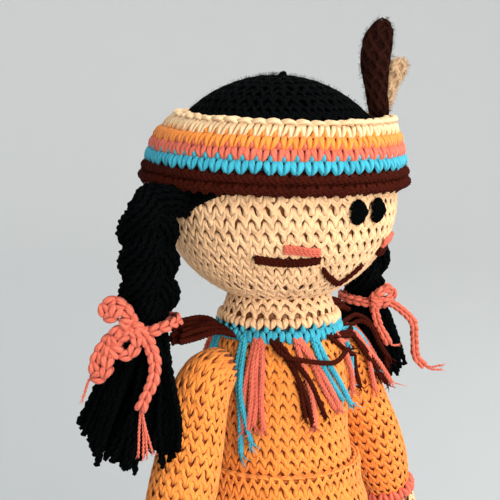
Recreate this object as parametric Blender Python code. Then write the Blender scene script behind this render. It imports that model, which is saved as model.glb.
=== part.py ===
"""A crocheted, stuffed doll in a headband, two braids and a fringed dress.

Metres, +Z up. The doll stands on the floor at z = 0 and faces -Y, so its right side is at -X. Every
height is stacked up from the soles, so a change in one size carries everything above it along. Pieces
are modelled about the doll's own axis, and the root is moved forward last, so that the origin lies
under the middle of its box: the band, set back on the head, reaches furthest to the front and back.
"""

import math

import bmesh
import bpy
from mathutils import Matrix, Vector

MM = 0.001

# Fabric and seams
GAP = 0.3 * MM
STUFFING_GAP = 0.5 * MM
WELD = 0.001 * MM
FABRIC = 3.0 * MM
CUT_OVERRUN = 2.0 * MM

# Boots and legs
BOOT_HEIGHT = 34.0 * MM
BOOT_LENGTH = 49.0 * MM
BOOT_WIDTH = 32.0 * MM
BOOT_TOP_RADIUS = 14.0 * MM
INSOLE_THICKNESS = 2.0 * MM
LEG_LENGTH = 50.0 * MM
HIP_RADIUS = 15.0 * MM
HIP_SPACING = 34.0 * MM
HIP_SEAT_DEPTH = 1.5 * MM

# Body
TORSO_HEIGHT = 82.7 * MM
CHEST_RADIUS = 28.8 * MM
SEAT_WALL = 5.0 * MM
COLLAR_HEIGHT = 4.5 * MM
COLLAR_RADIUS = 25.5 * MM
NECK_HEIGHT = 11.8 * MM
NECK_RADIUS = 21.0 * MM
NECK_BASE_RADIUS = 24.6 * MM

# Skirt
SKIRT_LENGTH = 37.5 * MM
SKIRT_TOP_RADIUS = 34.7 * MM
HEM_RADIUS = 42.5 * MM
HEM_ABOVE_HIP = 4.0 * MM

# Arms
SHOULDER_DROP = 12.0 * MM
SHOULDER_BACK = 1.5 * MM
ARM_SEAT_RADIUS = 8.0 * MM
ARM_RADIUS = 13.3 * MM
ARM_DROP = 70.0 * MM
ARM_SPREAD = 37.4 * MM
ARM_FORWARD = 7.0 * MM
CUFF_LENGTH = 5.0 * MM
CUFF_RADIUS = 10.9 * MM
HAND_LENGTH = 17.0 * MM
HAND_RADIUS = 9.7 * MM

# Head and hair
HEAD_RADIUS = 48.0 * MM
HEAD_RISE = 47.0 * MM
HEAD_DROP = 42.5 * MM
STUFFING_HOLE_RADIUS = 14.0 * MM
HAIR_THICKNESS = 3.0 * MM
HAIR_BACK = 2.0 * MM
HAIR_FRONT_EDGE = 22.0 * MM
HAIR_BACK_EDGE = 10.0 * MM

# Headband
BAND_BOTTOM_ABOVE_EQUATOR = 8.2 * MM
BAND_STAND_OFF = 6.3 * MM
BAND_TAPER = 7.3 * MM
BAND_WALL = 3.0 * MM
BAND_ROW_BULGE = 0.6 * MM
BAND_BACK_AT_BOTTOM = 3.0 * MM
BAND_BACK_AT_TOP = 1.0 * MM
BAND_TILT_DEG = 2.0
BAND_ROWS = (
    ("brown", 8.0 * MM),
    ("turquoise", 4.5 * MM),
    ("coral", 4.3 * MM),
    ("orange", 4.3 * MM),
    ("cream", 4.7 * MM),
)

# Feathers
BROWN_FEATHER_LENGTH = 43.0 * MM
BROWN_FEATHER_WIDTH = 12.0 * MM
BROWN_FEATHER_INSET = 5.1 * MM
CREAM_FEATHER_LENGTH = 28.5 * MM
CREAM_FEATHER_WIDTH = 9.6 * MM
CREAM_FEATHER_INSET = 5.4 * MM
CREAM_FEATHER_LEAN = 9.5 * MM
FEATHER_THICKNESS = 4.8 * MM
FEATHER_TUCK = 4.5 * MM

# Face
EYE_WIDTH = 8.0 * MM
EYE_HEIGHT = 9.5 * MM
EYE_DEPTH = 1.7 * MM
EYE_BELOW_EQUATOR = 1.3 * MM
EYE_AZIMUTH_DEG = 6.5
STITCH_THICKNESS = 1.8 * MM
CHEEK_THICKNESS = 1.6 * MM
CORAL_CHEEK_HEIGHT = 3.5 * MM
BROWN_CHEEK_HEIGHT = 3.0 * MM

# Braids and their ties
BRAID_STAND_OFF = 15.0 * MM
BRAID_BACK = 7.5 * MM
BRAID_RADIUS = 12.0 * MM
BRAID_ROOT_RADIUS = 4.8 * MM
BRAID_ROOT_BELOW_EQUATOR = 6.0 * MM
BRAID_BOTTOM_BELOW_EQUATOR = 44.0 * MM
BRAID_LOBES = 3
BRAID_LOBE_SHARE = 0.06
BRAID_END_SHARE = 0.72
BRAID_LOBE_SWAY = 1.0 * MM
TASSEL_LENGTH = 53.0 * MM
TASSEL_NECK_RADIUS = 7.2 * MM
TASSEL_THICKNESS = 27.0 * MM
TASSEL_WIDTH = 45.0 * MM
TASSEL_LEAN = 15.5 * MM
TASSEL_SWEEP_BACK = 8.0 * MM
TIE_HEIGHT = 5.5 * MM
TIE_CORD = 5.0 * MM
TIE_KNOT_RADIUS = 4.2 * MM
TIE_LOOP_REACH = 12.0 * MM
TIE_TAIL_LENGTH = 39.0 * MM
TIE_TAIL_ANGLE_DEG = 45.0

# Fringe
FRINGE_WIDTH = 5.0 * MM
FRINGE_THICKNESS = 2.2 * MM
FRINGE_LENGTH = 40.0 * MM
FRINGE_KNOT_THICKNESS = 3.2 * MM
FRINGE_SHOULDER_REACH = 20.0 * MM
FRINGE_SHOULDER_SAG = 3.5 * MM

# How finely round pieces are faceted
HEAD_STEPS = 32
BODY_STEPS = 28
STUFFING_STEPS = 20
SKIRT_STEPS = 36
LIMB_SIDES = 14
ARM_SIDES = 12
CORD_SIDES = 6

# Shapes, as shares of the sizes that they follow
TORSO_SHARES = (
    (0.66, 0.0),
    (0.86, 0.028),
    (0.99, 0.085),
    (1.06, 0.16),
    (1.083, 0.25),
    (1.08, 0.33),
    (1.055, 0.39),
    (1.015, 0.49),
    (1.01, 0.635),
    (1.0, 0.755),
    (0.983, 0.865),
    (0.938, 0.943),
    (0.861, 1.0),
)
SKIRT_SHARES = ((0.0, 0.0), (0.09, 0.11), (0.32, 0.30), (0.50, 0.52), (0.73, 0.76), (1.0, 1.0))
LEG_SHARES = ((0.867, 0.0), (0.88, 0.3), (0.93, 0.62), (0.985, 0.88))
BOOT_SHARES = (
    (0.0, -0.122, 0.857, 0.825),
    (0.07, -0.122, 0.959, 0.95),
    (0.24, -0.133, 1.0, 1.0),
    (0.42, -0.112, 0.959, 0.987),
    (0.60, -0.061, 0.816, 0.956),
    (0.78, -0.016, 0.653, 0.912),
    (0.89, 0.0, 0.588, 0.888),
)
ARM_SHARES = (
    (0.0, 0.0, 0.0, 0.602),
    (0.118, 0.01, 0.004, 0.722),
    (0.251, 0.04, 0.036, 0.812),
    (0.372, 0.10, 0.114, 0.872),
    (0.460, 0.20, 0.243, 0.910),
    (0.559, 0.38, 0.400, 0.955),
    (0.719, 0.66, 0.614, 1.0),
    (0.866, 0.86, 0.814, 0.947),
    (1.0, 1.0, 1.0, 0.752),
)
HAND_SHARES = ((0.0, 1.0), (0.35, 1.02), (0.68, 0.92), (0.90, 0.62), (1.0, 0.25))
BROWN_FEATHER_SHARES = (
    (0.0, 0.16, 0.75, 0.0),
    (0.08, 0.22, 0.85, 0.0),
    (0.12, 0.76, 0.90, 0.0),
    (0.36, 0.82, 1.0, -0.08),
    (0.56, 0.96, 1.0, -0.13),
    (0.80, 1.0, 1.0, -0.12),
    (0.94, 0.78, 0.85, -0.02),
    (1.0, 0.30, 0.45, 0.06),
)
CREAM_FEATHER_SHARES = (
    (0.0, 0.16, 0.50, 0.0),
    (0.13, 0.20, 0.60, 0.0),
    (0.30, 0.46, 0.70, 0.28),
    (0.55, 0.64, 0.72, 0.60),
    (0.80, 1.0, 0.72, 0.88),
    (0.94, 0.80, 0.62, 0.98),
    (1.0, 0.30, 0.35, 1.0),
)
BRAID_SHOULDER_SHARES = ((0.0, 0.0, 0.40), (0.35, 0.0, 0.62), (0.68, 0.12, 0.84), (0.93, 0.52, 0.96))
TIE_BOW_SHARES = (
    (0.75, 0.55, 1.75, 0.55),
    (0.55, 0.35, 1.1, 1.0),
    (0.0, 0.0, 0.1, 1.0),
    (0.55, 0.45, -0.9, 0.9),
    (0.95, 0.75, -1.6, 0.5),
)
TASSEL_SHARES = (
    (0.0, 0.0, 0.0, 0.0),
    (0.115, 0.0, 0.0, 0.0),
    (0.17, 0.07, 0.07, 0.42),
    (0.42, 0.35, 0.40, 0.74),
    (0.70, 0.68, 0.72, 0.93),
    (0.93, 0.96, 0.96, 1.0),
    (1.0, 1.0, 1.0, 0.90),
)
MOUTH_AZIMUTHS_AND_DROP_SHARES = (
    (-21.1, 0.541), (-15.5, 0.616), (-9.5, 0.673), (-4.5, 0.704), (-0.5, 0.713), (3.7, 0.635), (7.4, 0.551),
)
CORAL_CHEEK_AZIMUTHS_AND_DROP_SHARES = ((24.0, 0.388), (33.5, 0.369), (43.0, 0.351))
BROWN_CHEEK_AZIMUTHS_AND_DROP_SHARES = ((24.0, 0.487), (35.0, 0.478), (46.0, 0.470), (57.0, 0.461))
BROWN_FEATHER_AZIMUTH_DEG = 46.0
CREAM_FEATHER_AZIMUTH_DEG = 56.0

# Fringe groups: azimuth of the knot and of the tip from the front, colour and length share
FRINGE_GROUPS_AND_SHARES = (
    (-170.0, -170.0, "brown", 0.95),
    (-143.0, -143.0, "coral", 0.90),
    (-118.0, -118.0, "turquoise", 1.0),
    (-97.0, -97.0, "brown", 0.0),
    (-75.0, -67.0, "turquoise", 1.18),
    (-60.0, -54.0, "coral", 0.92),
    (-45.0, -41.0, "brown", 0.78),
    (-27.0, -27.0, "coral", 0.75),
    (-12.0, -12.0, "turquoise", 0.68),
    (4.0, 4.0, "brown", 0.86),
    (19.0, 19.0, "coral", 0.80),
    (35.0, 35.0, "turquoise", 0.62),
    (52.0, 50.0, "brown", 0.88),
    (72.0, 66.0, "coral", 0.85),
    (97.0, 97.0, "brown", 0.0),
    (135.0, 135.0, "turquoise", 0.95),
)

# Heights, stacked from the floor
HIP_Z = BOOT_HEIGHT + LEG_LENGTH
TORSO_Z = HIP_Z + HIP_RADIUS - HIP_SEAT_DEPTH
TORSO_TOP_Z = TORSO_Z + TORSO_HEIGHT
COLLAR_Z = TORSO_TOP_Z + GAP
COLLAR_TOP_Z = COLLAR_Z + COLLAR_HEIGHT
HEM_Z = HIP_Z + HEM_ABOVE_HIP
SHOULDER_Z = TORSO_TOP_Z - SHOULDER_DROP
HEAD_Z = COLLAR_TOP_Z + NECK_HEIGHT + HEAD_DROP * math.sqrt(1 - (NECK_RADIUS / HEAD_RADIUS) ** 2)
BAND_Z = HEAD_Z + BAND_BOTTOM_ABOVE_EQUATOR
BAND_HEIGHT = sum(height for _, height in BAND_ROWS)
BAND_TOP_Z = BAND_Z + BAND_HEIGHT
BRAID_ROOT_Z = HEAD_Z - BRAID_ROOT_BELOW_EQUATOR
BRAID_BOTTOM_Z = HEAD_Z - BRAID_BOTTOM_BELOW_EQUATOR

# Widths, each from the head's
HAIR_RADIUS = HEAD_RADIUS + HAIR_THICKNESS
HAIR_RISE = HEAD_RISE + HAIR_THICKNESS
BAND_BOTTOM_RADIUS = HEAD_RADIUS + BAND_STAND_OFF
BAND_TOP_RADIUS = BAND_BOTTOM_RADIUS - BAND_TAPER
BROWN_FEATHER_RADIUS = BAND_TOP_RADIUS - BROWN_FEATHER_INSET
CREAM_FEATHER_RADIUS = BAND_TOP_RADIUS - CREAM_FEATHER_INSET
BRAID_SPREAD = HEAD_RADIUS + BRAID_STAND_OFF

SIDES = (("right", -1), ("left", 1))

COLOURS = {
    "skin": (0.78, 0.56, 0.38),
    "orange": (0.87, 0.31, 0.05),
    "coral": (0.80, 0.17, 0.10),
    "turquoise": (0.05, 0.48, 0.65),
    "brown": (0.050, 0.014, 0.009),
    "cream": (0.83, 0.60, 0.35),
    "black": (0.004, 0.006, 0.006),
    "stuffing": (0.85, 0.84, 0.80),
    "card": (0.55, 0.46, 0.34),
}


def yarn(colour):
    """Returns the matt material of this colour, made once."""
    found = bpy.data.materials.get(colour)
    if found:
        return found
    material = bpy.data.materials.new(colour)
    material.use_nodes = True
    shader = material.node_tree.nodes["Principled BSDF"]
    shader.inputs["Base Color"].default_value = (*COLOURS[colour], 1)
    shader.inputs["Roughness"].default_value = 0.9
    shader.inputs["Metallic"].default_value = 0
    return material


def pivot(name, place, parent=None):
    """Adds an empty on a joint's axis; the pieces that turn there are parented to it."""
    empty = bpy.data.objects.new(name, None)
    bpy.context.collection.objects.link(empty)
    empty.empty_display_size = FABRIC
    empty.parent = parent
    empty.location = Vector(place) - (parent.location if parent else Vector())
    empty["place"] = tuple(place)
    return empty


def piece(name, bm, colour, parent):
    """Turns a bmesh in world coordinates into a named object under its pivot."""
    bmesh.ops.remove_doubles(bm, verts=bm.verts, dist=WELD)
    bmesh.ops.recalc_face_normals(bm, faces=bm.faces)
    place = Vector(parent["place"])
    bmesh.ops.translate(bm, verts=bm.verts, vec=-place)
    mesh = bpy.data.meshes.new(name)
    bm.to_mesh(mesh)
    bm.free()
    mesh.shade_smooth()
    mesh.set_sharp_from_angle(angle=math.radians(50))
    mesh.materials.append(yarn(colour))
    made = bpy.data.objects.new(name, mesh)
    made.parent = parent
    bpy.context.collection.objects.link(made)
    return made


def cutter(name, bm, parent):
    """Adds a shape that only cuts others."""
    made = piece(name, bm, "card", parent)
    made.hide_render = True
    made.display_type = "WIRE"
    return made


def boolean(target, other, operation):
    """Cuts the other shape from the target, or joins it to the target."""
    modifier = target.modifiers.new(f"{operation.lower()} {other.name}", "BOOLEAN")
    modifier.operation = operation
    modifier.object = other


def turned(profile, steps, closed=False):
    """Turns (radius, height) points about the Z axis; a closed profile gives a ring."""
    bm = bmesh.new()
    points = [bm.verts.new((radius, 0, height)) for radius, height in profile]
    ends = points[1:] + points[:1] if closed else points[1:]
    edges = [bm.edges.new(pair) for pair in zip(points, ends)]
    bmesh.ops.spin(bm, geom=points + edges, axis=(0, 0, 1), angle=math.tau, steps=steps, use_merge=True)
    bmesh.ops.remove_doubles(bm, verts=bm.verts, dist=WELD)
    return bm


def ring(centre, across, up, sides):
    """Points of an ellipse about a centre, spanned by two half axes."""
    turns = (math.tau * i / sides for i in range(sides))
    return [Vector(centre) + math.cos(a) * across + math.sin(a) * up for a in turns]


def skinned(rings, closed=False):
    """Skins a run of rings; the ends are capped, or joined to each other when closed."""
    bm = bmesh.new()
    loops = [[bm.verts.new(point) for point in points] for points in rings]
    nexts = loops[1:] + loops[:1] if closed else loops[1:]
    for low, high in zip(loops, nexts):
        for i in range(len(low)):
            j = (i + 1) % len(low)
            bm.faces.new((low[i], low[j], high[j], high[i]))
    if not closed:
        bm.faces.new(reversed(loops[0]))
        bm.faces.new(loops[-1])
    return bm


def tube_rings(stations, sides, start=None):
    """Round rings square to a path of (point, radius) stations; the first can face another way."""
    points = [Vector(point) for point, _ in stations]
    rings = []
    for i, (point, radius) in enumerate(stations):
        along = (points[min(i + 1, len(points) - 1)] - points[max(i - 1, 0)]).normalized()
        along = start if start and not i else along
        across = along.cross(Vector((0, 1, 0))).normalized()
        rings.append(ring(point, across * radius, along.cross(across) * radius, sides))
    return rings


def ellipse_arc(radius, rise, drop, low_deg, high_deg, count):
    """(radius, height) points of an egg about z = 0, from one latitude to another."""
    points = []
    for i in range(count):
        latitude = math.radians(low_deg + (high_deg - low_deg) * i / (count - 1))
        height = (rise if latitude > 0 else drop) * math.sin(latitude)
        points.append((radius * max(math.cos(latitude), 0.0), height))
    return points


def lifted(profile, height):
    """The same (radius, height) points, raised."""
    return [(radius, z + height) for radius, z in profile]


def head_underside(radius, clearance=0.0):
    """Height of the head's underside at this distance from the middle, less a clearance."""
    return HEAD_Z - HEAD_DROP * math.sqrt(1 - (radius / HEAD_RADIUS) ** 2) - clearance


def on_head(azimuth_deg, below, lift):
    """Point and outward direction on the head's lower half, by azimuth from the front and drop."""
    azimuth = math.radians(azimuth_deg)
    radius = HEAD_RADIUS * math.sqrt(1 - (below / HEAD_DROP) ** 2)
    outward = Vector((math.sin(azimuth), -math.cos(azimuth), 0))
    normal = (outward * radius / HEAD_RADIUS**2 - Vector((0, 0, below / HEAD_DROP**2))).normalized()
    return outward * radius + Vector((0, 0, HEAD_Z - below)) + normal * lift, normal


def torso_outline():
    """(radius, height) points of the body's side, from its flat seat up to the collar."""
    return [(share * CHEST_RADIUS, TORSO_Z + up * TORSO_HEIGHT) for share, up in TORSO_SHARES]


def torso_radius(height):
    """Radius of the body at this height."""
    outline = torso_outline()
    for (low_radius, low), (high_radius, high) in zip(outline, outline[1:]):
        if height <= high:
            share = max(height - low, 0) / (high - low)
            return low_radius + share * (high_radius - low_radius)
    return outline[-1][0]


def hip_ball(grow):
    """(radius, height) points of the ball at the top of a leg, grown outwards."""
    radius = HIP_RADIUS + grow
    return lifted(ellipse_arc(radius, radius, radius, -90, 90, 11), HIP_Z)


def moved(bm, vector):
    """The bmesh, moved."""
    bmesh.ops.translate(bm, verts=bm.verts, vec=vector)
    return bm


def make_torso(root):
    """Dress body, its stuffing, the neck and the collar row."""
    outer = torso_outline()
    floor = TORSO_Z + SEAT_WALL
    inner = [(radius - FABRIC, max(height, floor)) for radius, height in outer]
    shell = [(0, floor)] + inner + list(reversed(outer)) + [(0, TORSO_Z)]
    torso = piece("dress_body", turned(shell, BODY_STEPS), "orange", root)

    collar_inner = torso_radius(TORSO_TOP_Z) - FABRIC
    neck_inner = NECK_RADIUS - FABRIC
    core = [(radius - STUFFING_GAP, max(height, floor + SEAT_WALL / 2)) for radius, height in inner[2:]]
    core_neck = neck_inner - STUFFING_GAP
    core += [(collar_inner - STUFFING_GAP, COLLAR_TOP_Z), (core_neck, COLLAR_TOP_Z + NECK_HEIGHT / 2)]
    core += [(share * core_neck, head_underside(share * core_neck, STUFFING_GAP)) for share in (1.0, 0.5, 0.0)]
    piece("body_stuffing", turned([(0, floor + STUFFING_GAP)] + core, STUFFING_STEPS), "stuffing", root)

    neck = [
        (NECK_RADIUS, head_underside(NECK_RADIUS, GAP)),
        ((NECK_RADIUS + NECK_BASE_RADIUS) / 2, COLLAR_TOP_Z + NECK_HEIGHT / 2),
        (NECK_BASE_RADIUS, COLLAR_TOP_Z + GAP),
        (collar_inner, COLLAR_TOP_Z + GAP),
        (neck_inner, COLLAR_TOP_Z + NECK_HEIGHT / 2),
        (neck_inner, head_underside(neck_inner, GAP)),
    ]
    piece("neck", turned(neck, BODY_STEPS, closed=True), "skin", root)

    collar = [
        (COLLAR_RADIUS - GAP, COLLAR_TOP_Z),
        (COLLAR_RADIUS, COLLAR_Z + COLLAR_HEIGHT / 2),
        (COLLAR_RADIUS - GAP, COLLAR_Z),
        (collar_inner, COLLAR_Z),
        (collar_inner, COLLAR_TOP_Z),
    ]
    piece("collar", turned(collar, BODY_STEPS, closed=True), "turquoise", root)

    for name, side in SIDES:
        ball = moved(turned(hip_ball(GAP), LIMB_SIDES), (side * HIP_SPACING / 2, 0, 0))
        boolean(torso, cutter(f"cut_{name}_hip", ball, root), "DIFFERENCE")


def make_skirt(root):
    """Flared skirt, picked up on a ridge round the waist."""
    top = HEM_Z + SKIRT_LENGTH
    outer = [
        (SKIRT_TOP_RADIUS + out * (HEM_RADIUS - SKIRT_TOP_RADIUS), top - down * SKIRT_LENGTH)
        for out, down in SKIRT_SHARES
    ]
    inner = [(max(radius - FABRIC, torso_radius(height) + GAP), height) for radius, height in reversed(outer)]
    piece("skirt", turned(outer + inner, SKIRT_STEPS, closed=True), "orange", root)


def fringe_ring(azimuth_deg, radius, height, width_share, half_thickness, upright):
    """One flat ring of a fringe group; upright is for groups that stand out over a shoulder."""
    azimuth = math.radians(azimuth_deg)
    outward = Vector((math.sin(azimuth), -math.cos(azimuth), 0))
    across = Vector((math.cos(azimuth), math.sin(azimuth), 0))
    thick = Vector((0, 0, 1)) if upright else outward
    centre = outward * radius + Vector((0, 0, height))
    return ring(centre, across * width_share * FRINGE_WIDTH / 2, thick * half_thickness, CORD_SIDES)


def hanging_group(knot_deg, tip_deg, length_share):
    """Rings of a group that is knotted at the collar and hangs down along the body."""
    knot_half = FRINGE_KNOT_THICKNESS / 2
    half = FRINGE_THICKNESS / 2
    radius = COLLAR_RADIUS + GAP + knot_half
    rings = [
        fringe_ring(knot_deg, radius, COLLAR_TOP_Z - GAP, 0.45, knot_half, False),
        fringe_ring(knot_deg, radius + GAP, COLLAR_Z, 0.55, knot_half, False),
    ]
    for share, drift in ((0.14, 0.6), (0.32, 1.0), (0.56, 1.0), (0.8, 1.0), (1.0, 1.0)):
        height = COLLAR_Z - share * FRINGE_LENGTH * length_share
        radius = torso_radius(height) + GAP + half * 1.3
        width = 1.0 if share < 1 else 0.5
        rings.append(fringe_ring(knot_deg + drift * (tip_deg - knot_deg), radius, height, width, half, False))
    return rings


def shoulder_group(knot_deg):
    """Rings of a group that runs out over a shoulder."""
    half = FRINGE_THICKNESS / 2
    radius = COLLAR_RADIUS + GAP
    rings = []
    for share in (0.0, 0.3, 0.65, 1.0):
        height = COLLAR_TOP_Z - FRINGE_SHOULDER_SAG * (0.5 + share**2 / 2)
        reach = radius + share * FRINGE_SHOULDER_REACH
        rings.append(fringe_ring(knot_deg, reach, height, 1.0 - share / 3, half, True))
    return rings


def make_fringe(root):
    """Knotted yarn groups that hang from the collar over the chest, the back and the shoulders."""
    for number, (knot_deg, tip_deg, colour, share) in enumerate(FRINGE_GROUPS_AND_SHARES, 1):
        rings = hanging_group(knot_deg, tip_deg, share) if share else shoulder_group(knot_deg)
        piece(f"fringe_{number:02d}_{colour}", skinned(rings), colour, root)


def arm_stations(side, seat_x, inset=0.0):
    """(point, radius) stations of the sleeve, from the shoulder seat to the wrist."""
    return [
        (
            Vector((
                side * (seat_x + out * ARM_SPREAD),
                SHOULDER_BACK - forward * ARM_FORWARD,
                SHOULDER_Z - down * ARM_DROP,
            )),
            radius * ARM_RADIUS - inset,
        )
        for out, forward, down, radius in ARM_SHARES
    ]


def make_arm(name, side, root):
    """Sleeve, cuff row, hand and stuffing, hinged at the shoulder."""
    seat_x = torso_radius(SHOULDER_Z - ARM_SEAT_RADIUS) + GAP
    shoulder = pivot(f"{name}_shoulder", (side * seat_x, SHOULDER_BACK, SHOULDER_Z), root)
    outer = arm_stations(side, seat_x)
    inner = arm_stations(side, seat_x, FABRIC)
    flat = Vector((side, 0, 0))
    sleeve = tube_rings(outer, ARM_SIDES, flat) + list(reversed(tube_rings(inner, ARM_SIDES, flat)))
    piece(f"{name}_sleeve", skinned(sleeve, closed=True), "orange", shoulder)

    wrist = outer[-1][0]
    along = (wrist - outer[-2][0]).normalized()
    start = wrist + along * GAP
    end = start + along * CUFF_LENGTH
    middle = (start + end) / 2
    cuff = [(start, CUFF_RADIUS - GAP), (middle, CUFF_RADIUS), (end, CUFF_RADIUS - GAP)]
    bore = outer[-1][1] - FABRIC
    cuff_rings = tube_rings(cuff, ARM_SIDES) + list(reversed(tube_rings([(start, bore), (end, bore)], ARM_SIDES)))
    piece(f"{name}_cuff", skinned(cuff_rings, closed=True), "coral", shoulder)

    hand_start = end + along * GAP
    hand = [(hand_start + along * HAND_LENGTH * out, HAND_RADIUS * radius) for out, radius in HAND_SHARES]
    inside = [(hand_start + along * (HAND_LENGTH - FABRIC) * out, bore * radius) for out, radius in HAND_SHARES]
    hand_rings = list(reversed(tube_rings(inside, ARM_SIDES))) + tube_rings(hand, ARM_SIDES)
    piece(f"{name}_hand", skinned(hand_rings), "skin", shoulder)

    core = [(point, radius - STUFFING_GAP) for point, radius in inner]
    core += [(point - along * GAP, radius - STUFFING_GAP) for point, radius in inside]
    piece(f"{name}_arm_stuffing", skinned(tube_rings(core, ARM_SIDES, flat)), "stuffing", shoulder)


def boot_ring(share, inset, height=None):
    """One oval ring of a boot: height share, middle, half length and half width, drawn in by an inset."""
    up, forward, length, width = share
    centre = Vector((0, forward * BOOT_LENGTH, up * BOOT_HEIGHT if height is None else height))
    across = Vector((width * BOOT_WIDTH / 2 - inset, 0, 0))
    return ring(centre, across, Vector((0, length * BOOT_LENGTH / 2 - inset, 0)), LIMB_SIDES)


def top_ring(height, radius):
    """One round ring about the leg's axis."""
    return ring((0, 0, height), Vector((radius, 0, 0)), Vector((0, radius, 0)), LIMB_SIDES)


def leg_outline(inset):
    """(radius, height) points of the leg, from the boot up to the top of the hip ball."""
    side = [(share * HIP_RADIUS - inset, BOOT_HEIGHT + GAP + up * (LEG_LENGTH - GAP)) for share, up in LEG_SHARES]
    round_top = HIP_RADIUS - inset
    return side + lifted(ellipse_arc(round_top, round_top, round_top, 0, 90, 6), HIP_Z)


def make_leg(name, side, root):
    """Leg, boot, insole and stuffing, hinged at the hip."""
    place = Vector((side * HIP_SPACING / 2, 0, 0))
    hip = pivot(f"{name}_hip", place + Vector((0, 0, HIP_Z)), root)
    shell = list(reversed(leg_outline(FABRIC))) + leg_outline(0)
    piece(f"{name}_leg", moved(turned(shell, LIMB_SIDES), place), "skin", hip)

    outer = [boot_ring(share, 0) for share in BOOT_SHARES] + [top_ring(BOOT_HEIGHT, BOOT_TOP_RADIUS)]
    inner = [boot_ring(BOOT_SHARES[1], FABRIC, FABRIC)] + [boot_ring(share, FABRIC) for share in BOOT_SHARES[2:]]
    inner += [top_ring(BOOT_HEIGHT, BOOT_TOP_RADIUS - FABRIC)]
    piece(f"{name}_boot", moved(skinned(inner + list(reversed(outer))), place), "brown", hip)

    sole_bottom = FABRIC + GAP
    sole = [boot_ring(BOOT_SHARES[1], FABRIC + GAP, sole_bottom + up) for up in (0, INSOLE_THICKNESS)]
    piece(f"{name}_insole", moved(skinned(sole), place), "card", hip)

    inset = FABRIC + STUFFING_GAP
    core = [boot_ring(BOOT_SHARES[1], inset, sole_bottom + INSOLE_THICKNESS + GAP)]
    core += [boot_ring(share, inset) for share in BOOT_SHARES[2:]]
    core += [top_ring(height, radius) for radius, height in leg_outline(inset)[:-1]]
    piece(f"{name}_leg_stuffing", moved(skinned(core), place), "stuffing", hip)


def head_outline(grow):
    """(radius, height) points of the head's skin, grown outwards, from its opening to the crown."""
    low = -math.degrees(math.acos(STUFFING_HOLE_RADIUS / HEAD_RADIUS))
    return lifted(ellipse_arc(HEAD_RADIUS + grow, HEAD_RISE + grow, HEAD_DROP + grow, low, 90, 15), HEAD_Z)


def make_head(head):
    """Crocheted head, open only where it meets the neck, its stuffing, and the hair cap."""
    inside = HEAD_RADIUS - FABRIC
    inner_low = -math.degrees(math.acos(STUFFING_HOLE_RADIUS / inside))
    inner = lifted(ellipse_arc(inside, HEAD_RISE - FABRIC, HEAD_DROP - FABRIC, inner_low, 90, 9), HEAD_Z)
    piece("head_skin", turned(list(reversed(inner)) + head_outline(0), HEAD_STEPS), "skin", head)

    hole = STUFFING_HOLE_RADIUS - GAP
    core_radius = inside - STUFFING_GAP
    core_low = -math.degrees(math.acos(hole / core_radius))
    core_rise, core_drop = HEAD_RISE - HEAD_RADIUS + core_radius, HEAD_DROP - HEAD_RADIUS + core_radius
    core = ellipse_arc(core_radius, core_rise, core_drop, core_low, 90, 9)
    plug = [(0, head_underside(0)), (hole, head_underside(hole))]
    piece("head_stuffing", turned(plug + lifted(core, HEAD_Z), HEAD_STEPS), "stuffing", head)

    dome = turned(lifted(ellipse_arc(HAIR_RADIUS, HAIR_RISE, HAIR_RISE, -90, 90, 17), HEAD_Z), HEAD_STEPS)
    moved(dome, (0, HAIR_BACK, 0))
    front = Vector((0, -HAIR_RADIUS, HEAD_Z + HAIR_FRONT_EDGE))
    back = Vector((0, HAIR_RADIUS, HEAD_Z - HAIR_BACK_EDGE))
    down = (back - front).cross(Vector((1, 0, 0))).normalized()
    everything = dome.verts[:] + dome.edges[:] + dome.faces[:]
    cut = bmesh.ops.bisect_plane(dome, geom=everything, plane_co=front, plane_no=down, clear_outer=True)
    rim = [edge for edge in cut["geom_cut"] if isinstance(edge, bmesh.types.BMEdge)]
    bmesh.ops.edgenet_fill(dome, edges=rim)
    cap = piece("hair_cap", dome, "black", head)
    solid_head = head_outline(GAP)
    boolean(cap, cutter("cut_head", turned([(0, solid_head[0][1])] + solid_head, HEAD_STEPS), head), "DIFFERENCE")


def band_radius(height):
    """Outer radius of the headband at this height."""
    share = (height - BAND_Z) / BAND_HEIGHT
    return BAND_BOTTOM_RADIUS + share * (BAND_TOP_RADIUS - BAND_BOTTOM_RADIUS)


def make_band(head):
    """Five crocheted rows, tipped down at the front and standing off the back of the head."""
    tilt = Matrix.Rotation(math.radians(BAND_TILT_DEG), 3, "X")
    low = BAND_Z
    for colour, height in BAND_ROWS:
        high = low + height - GAP
        middle = (low + high) / 2
        row = [
            (band_radius(low), low),
            (band_radius(middle) + BAND_ROW_BULGE, middle),
            (band_radius(high), high),
            (band_radius(high) - BAND_WALL, high),
            (band_radius(low) - BAND_WALL, low),
        ]
        bm = turned(row, HEAD_STEPS, closed=True)
        for vert in bm.verts:
            share = (vert.co.z - BAND_Z) / BAND_HEIGHT
            vert.co.y += BAND_BACK_AT_BOTTOM + share * (BAND_BACK_AT_TOP - BAND_BACK_AT_BOTTOM)
        bmesh.ops.rotate(bm, verts=bm.verts, cent=(0, 0, BAND_Z), matrix=tilt)
        piece(f"band_{colour}", bm, colour, head)
        low += height


def make_feather(head, colour, azimuth_deg, shares, length, width, radius, lean):
    """A flat crocheted feather that stands on edge behind the band, its root tucked under it."""
    azimuth = math.radians(azimuth_deg)
    outward = Vector((math.sin(azimuth), -math.cos(azimuth), 0))
    across = Vector((math.cos(azimuth), math.sin(azimuth), 0))
    root_z = BAND_TOP_Z - FEATHER_TUCK
    rings = []
    for up, wide, thick, out in shares:
        centre = outward * (radius + out * (lean or width)) + Vector((0, 0, root_z + up * length))
        rings.append(ring(centre, outward * wide * width / 2, across * thick * FEATHER_THICKNESS / 2, ARM_SIDES))
    piece(f"feather_{colour}", skinned(rings), colour, head)


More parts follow.
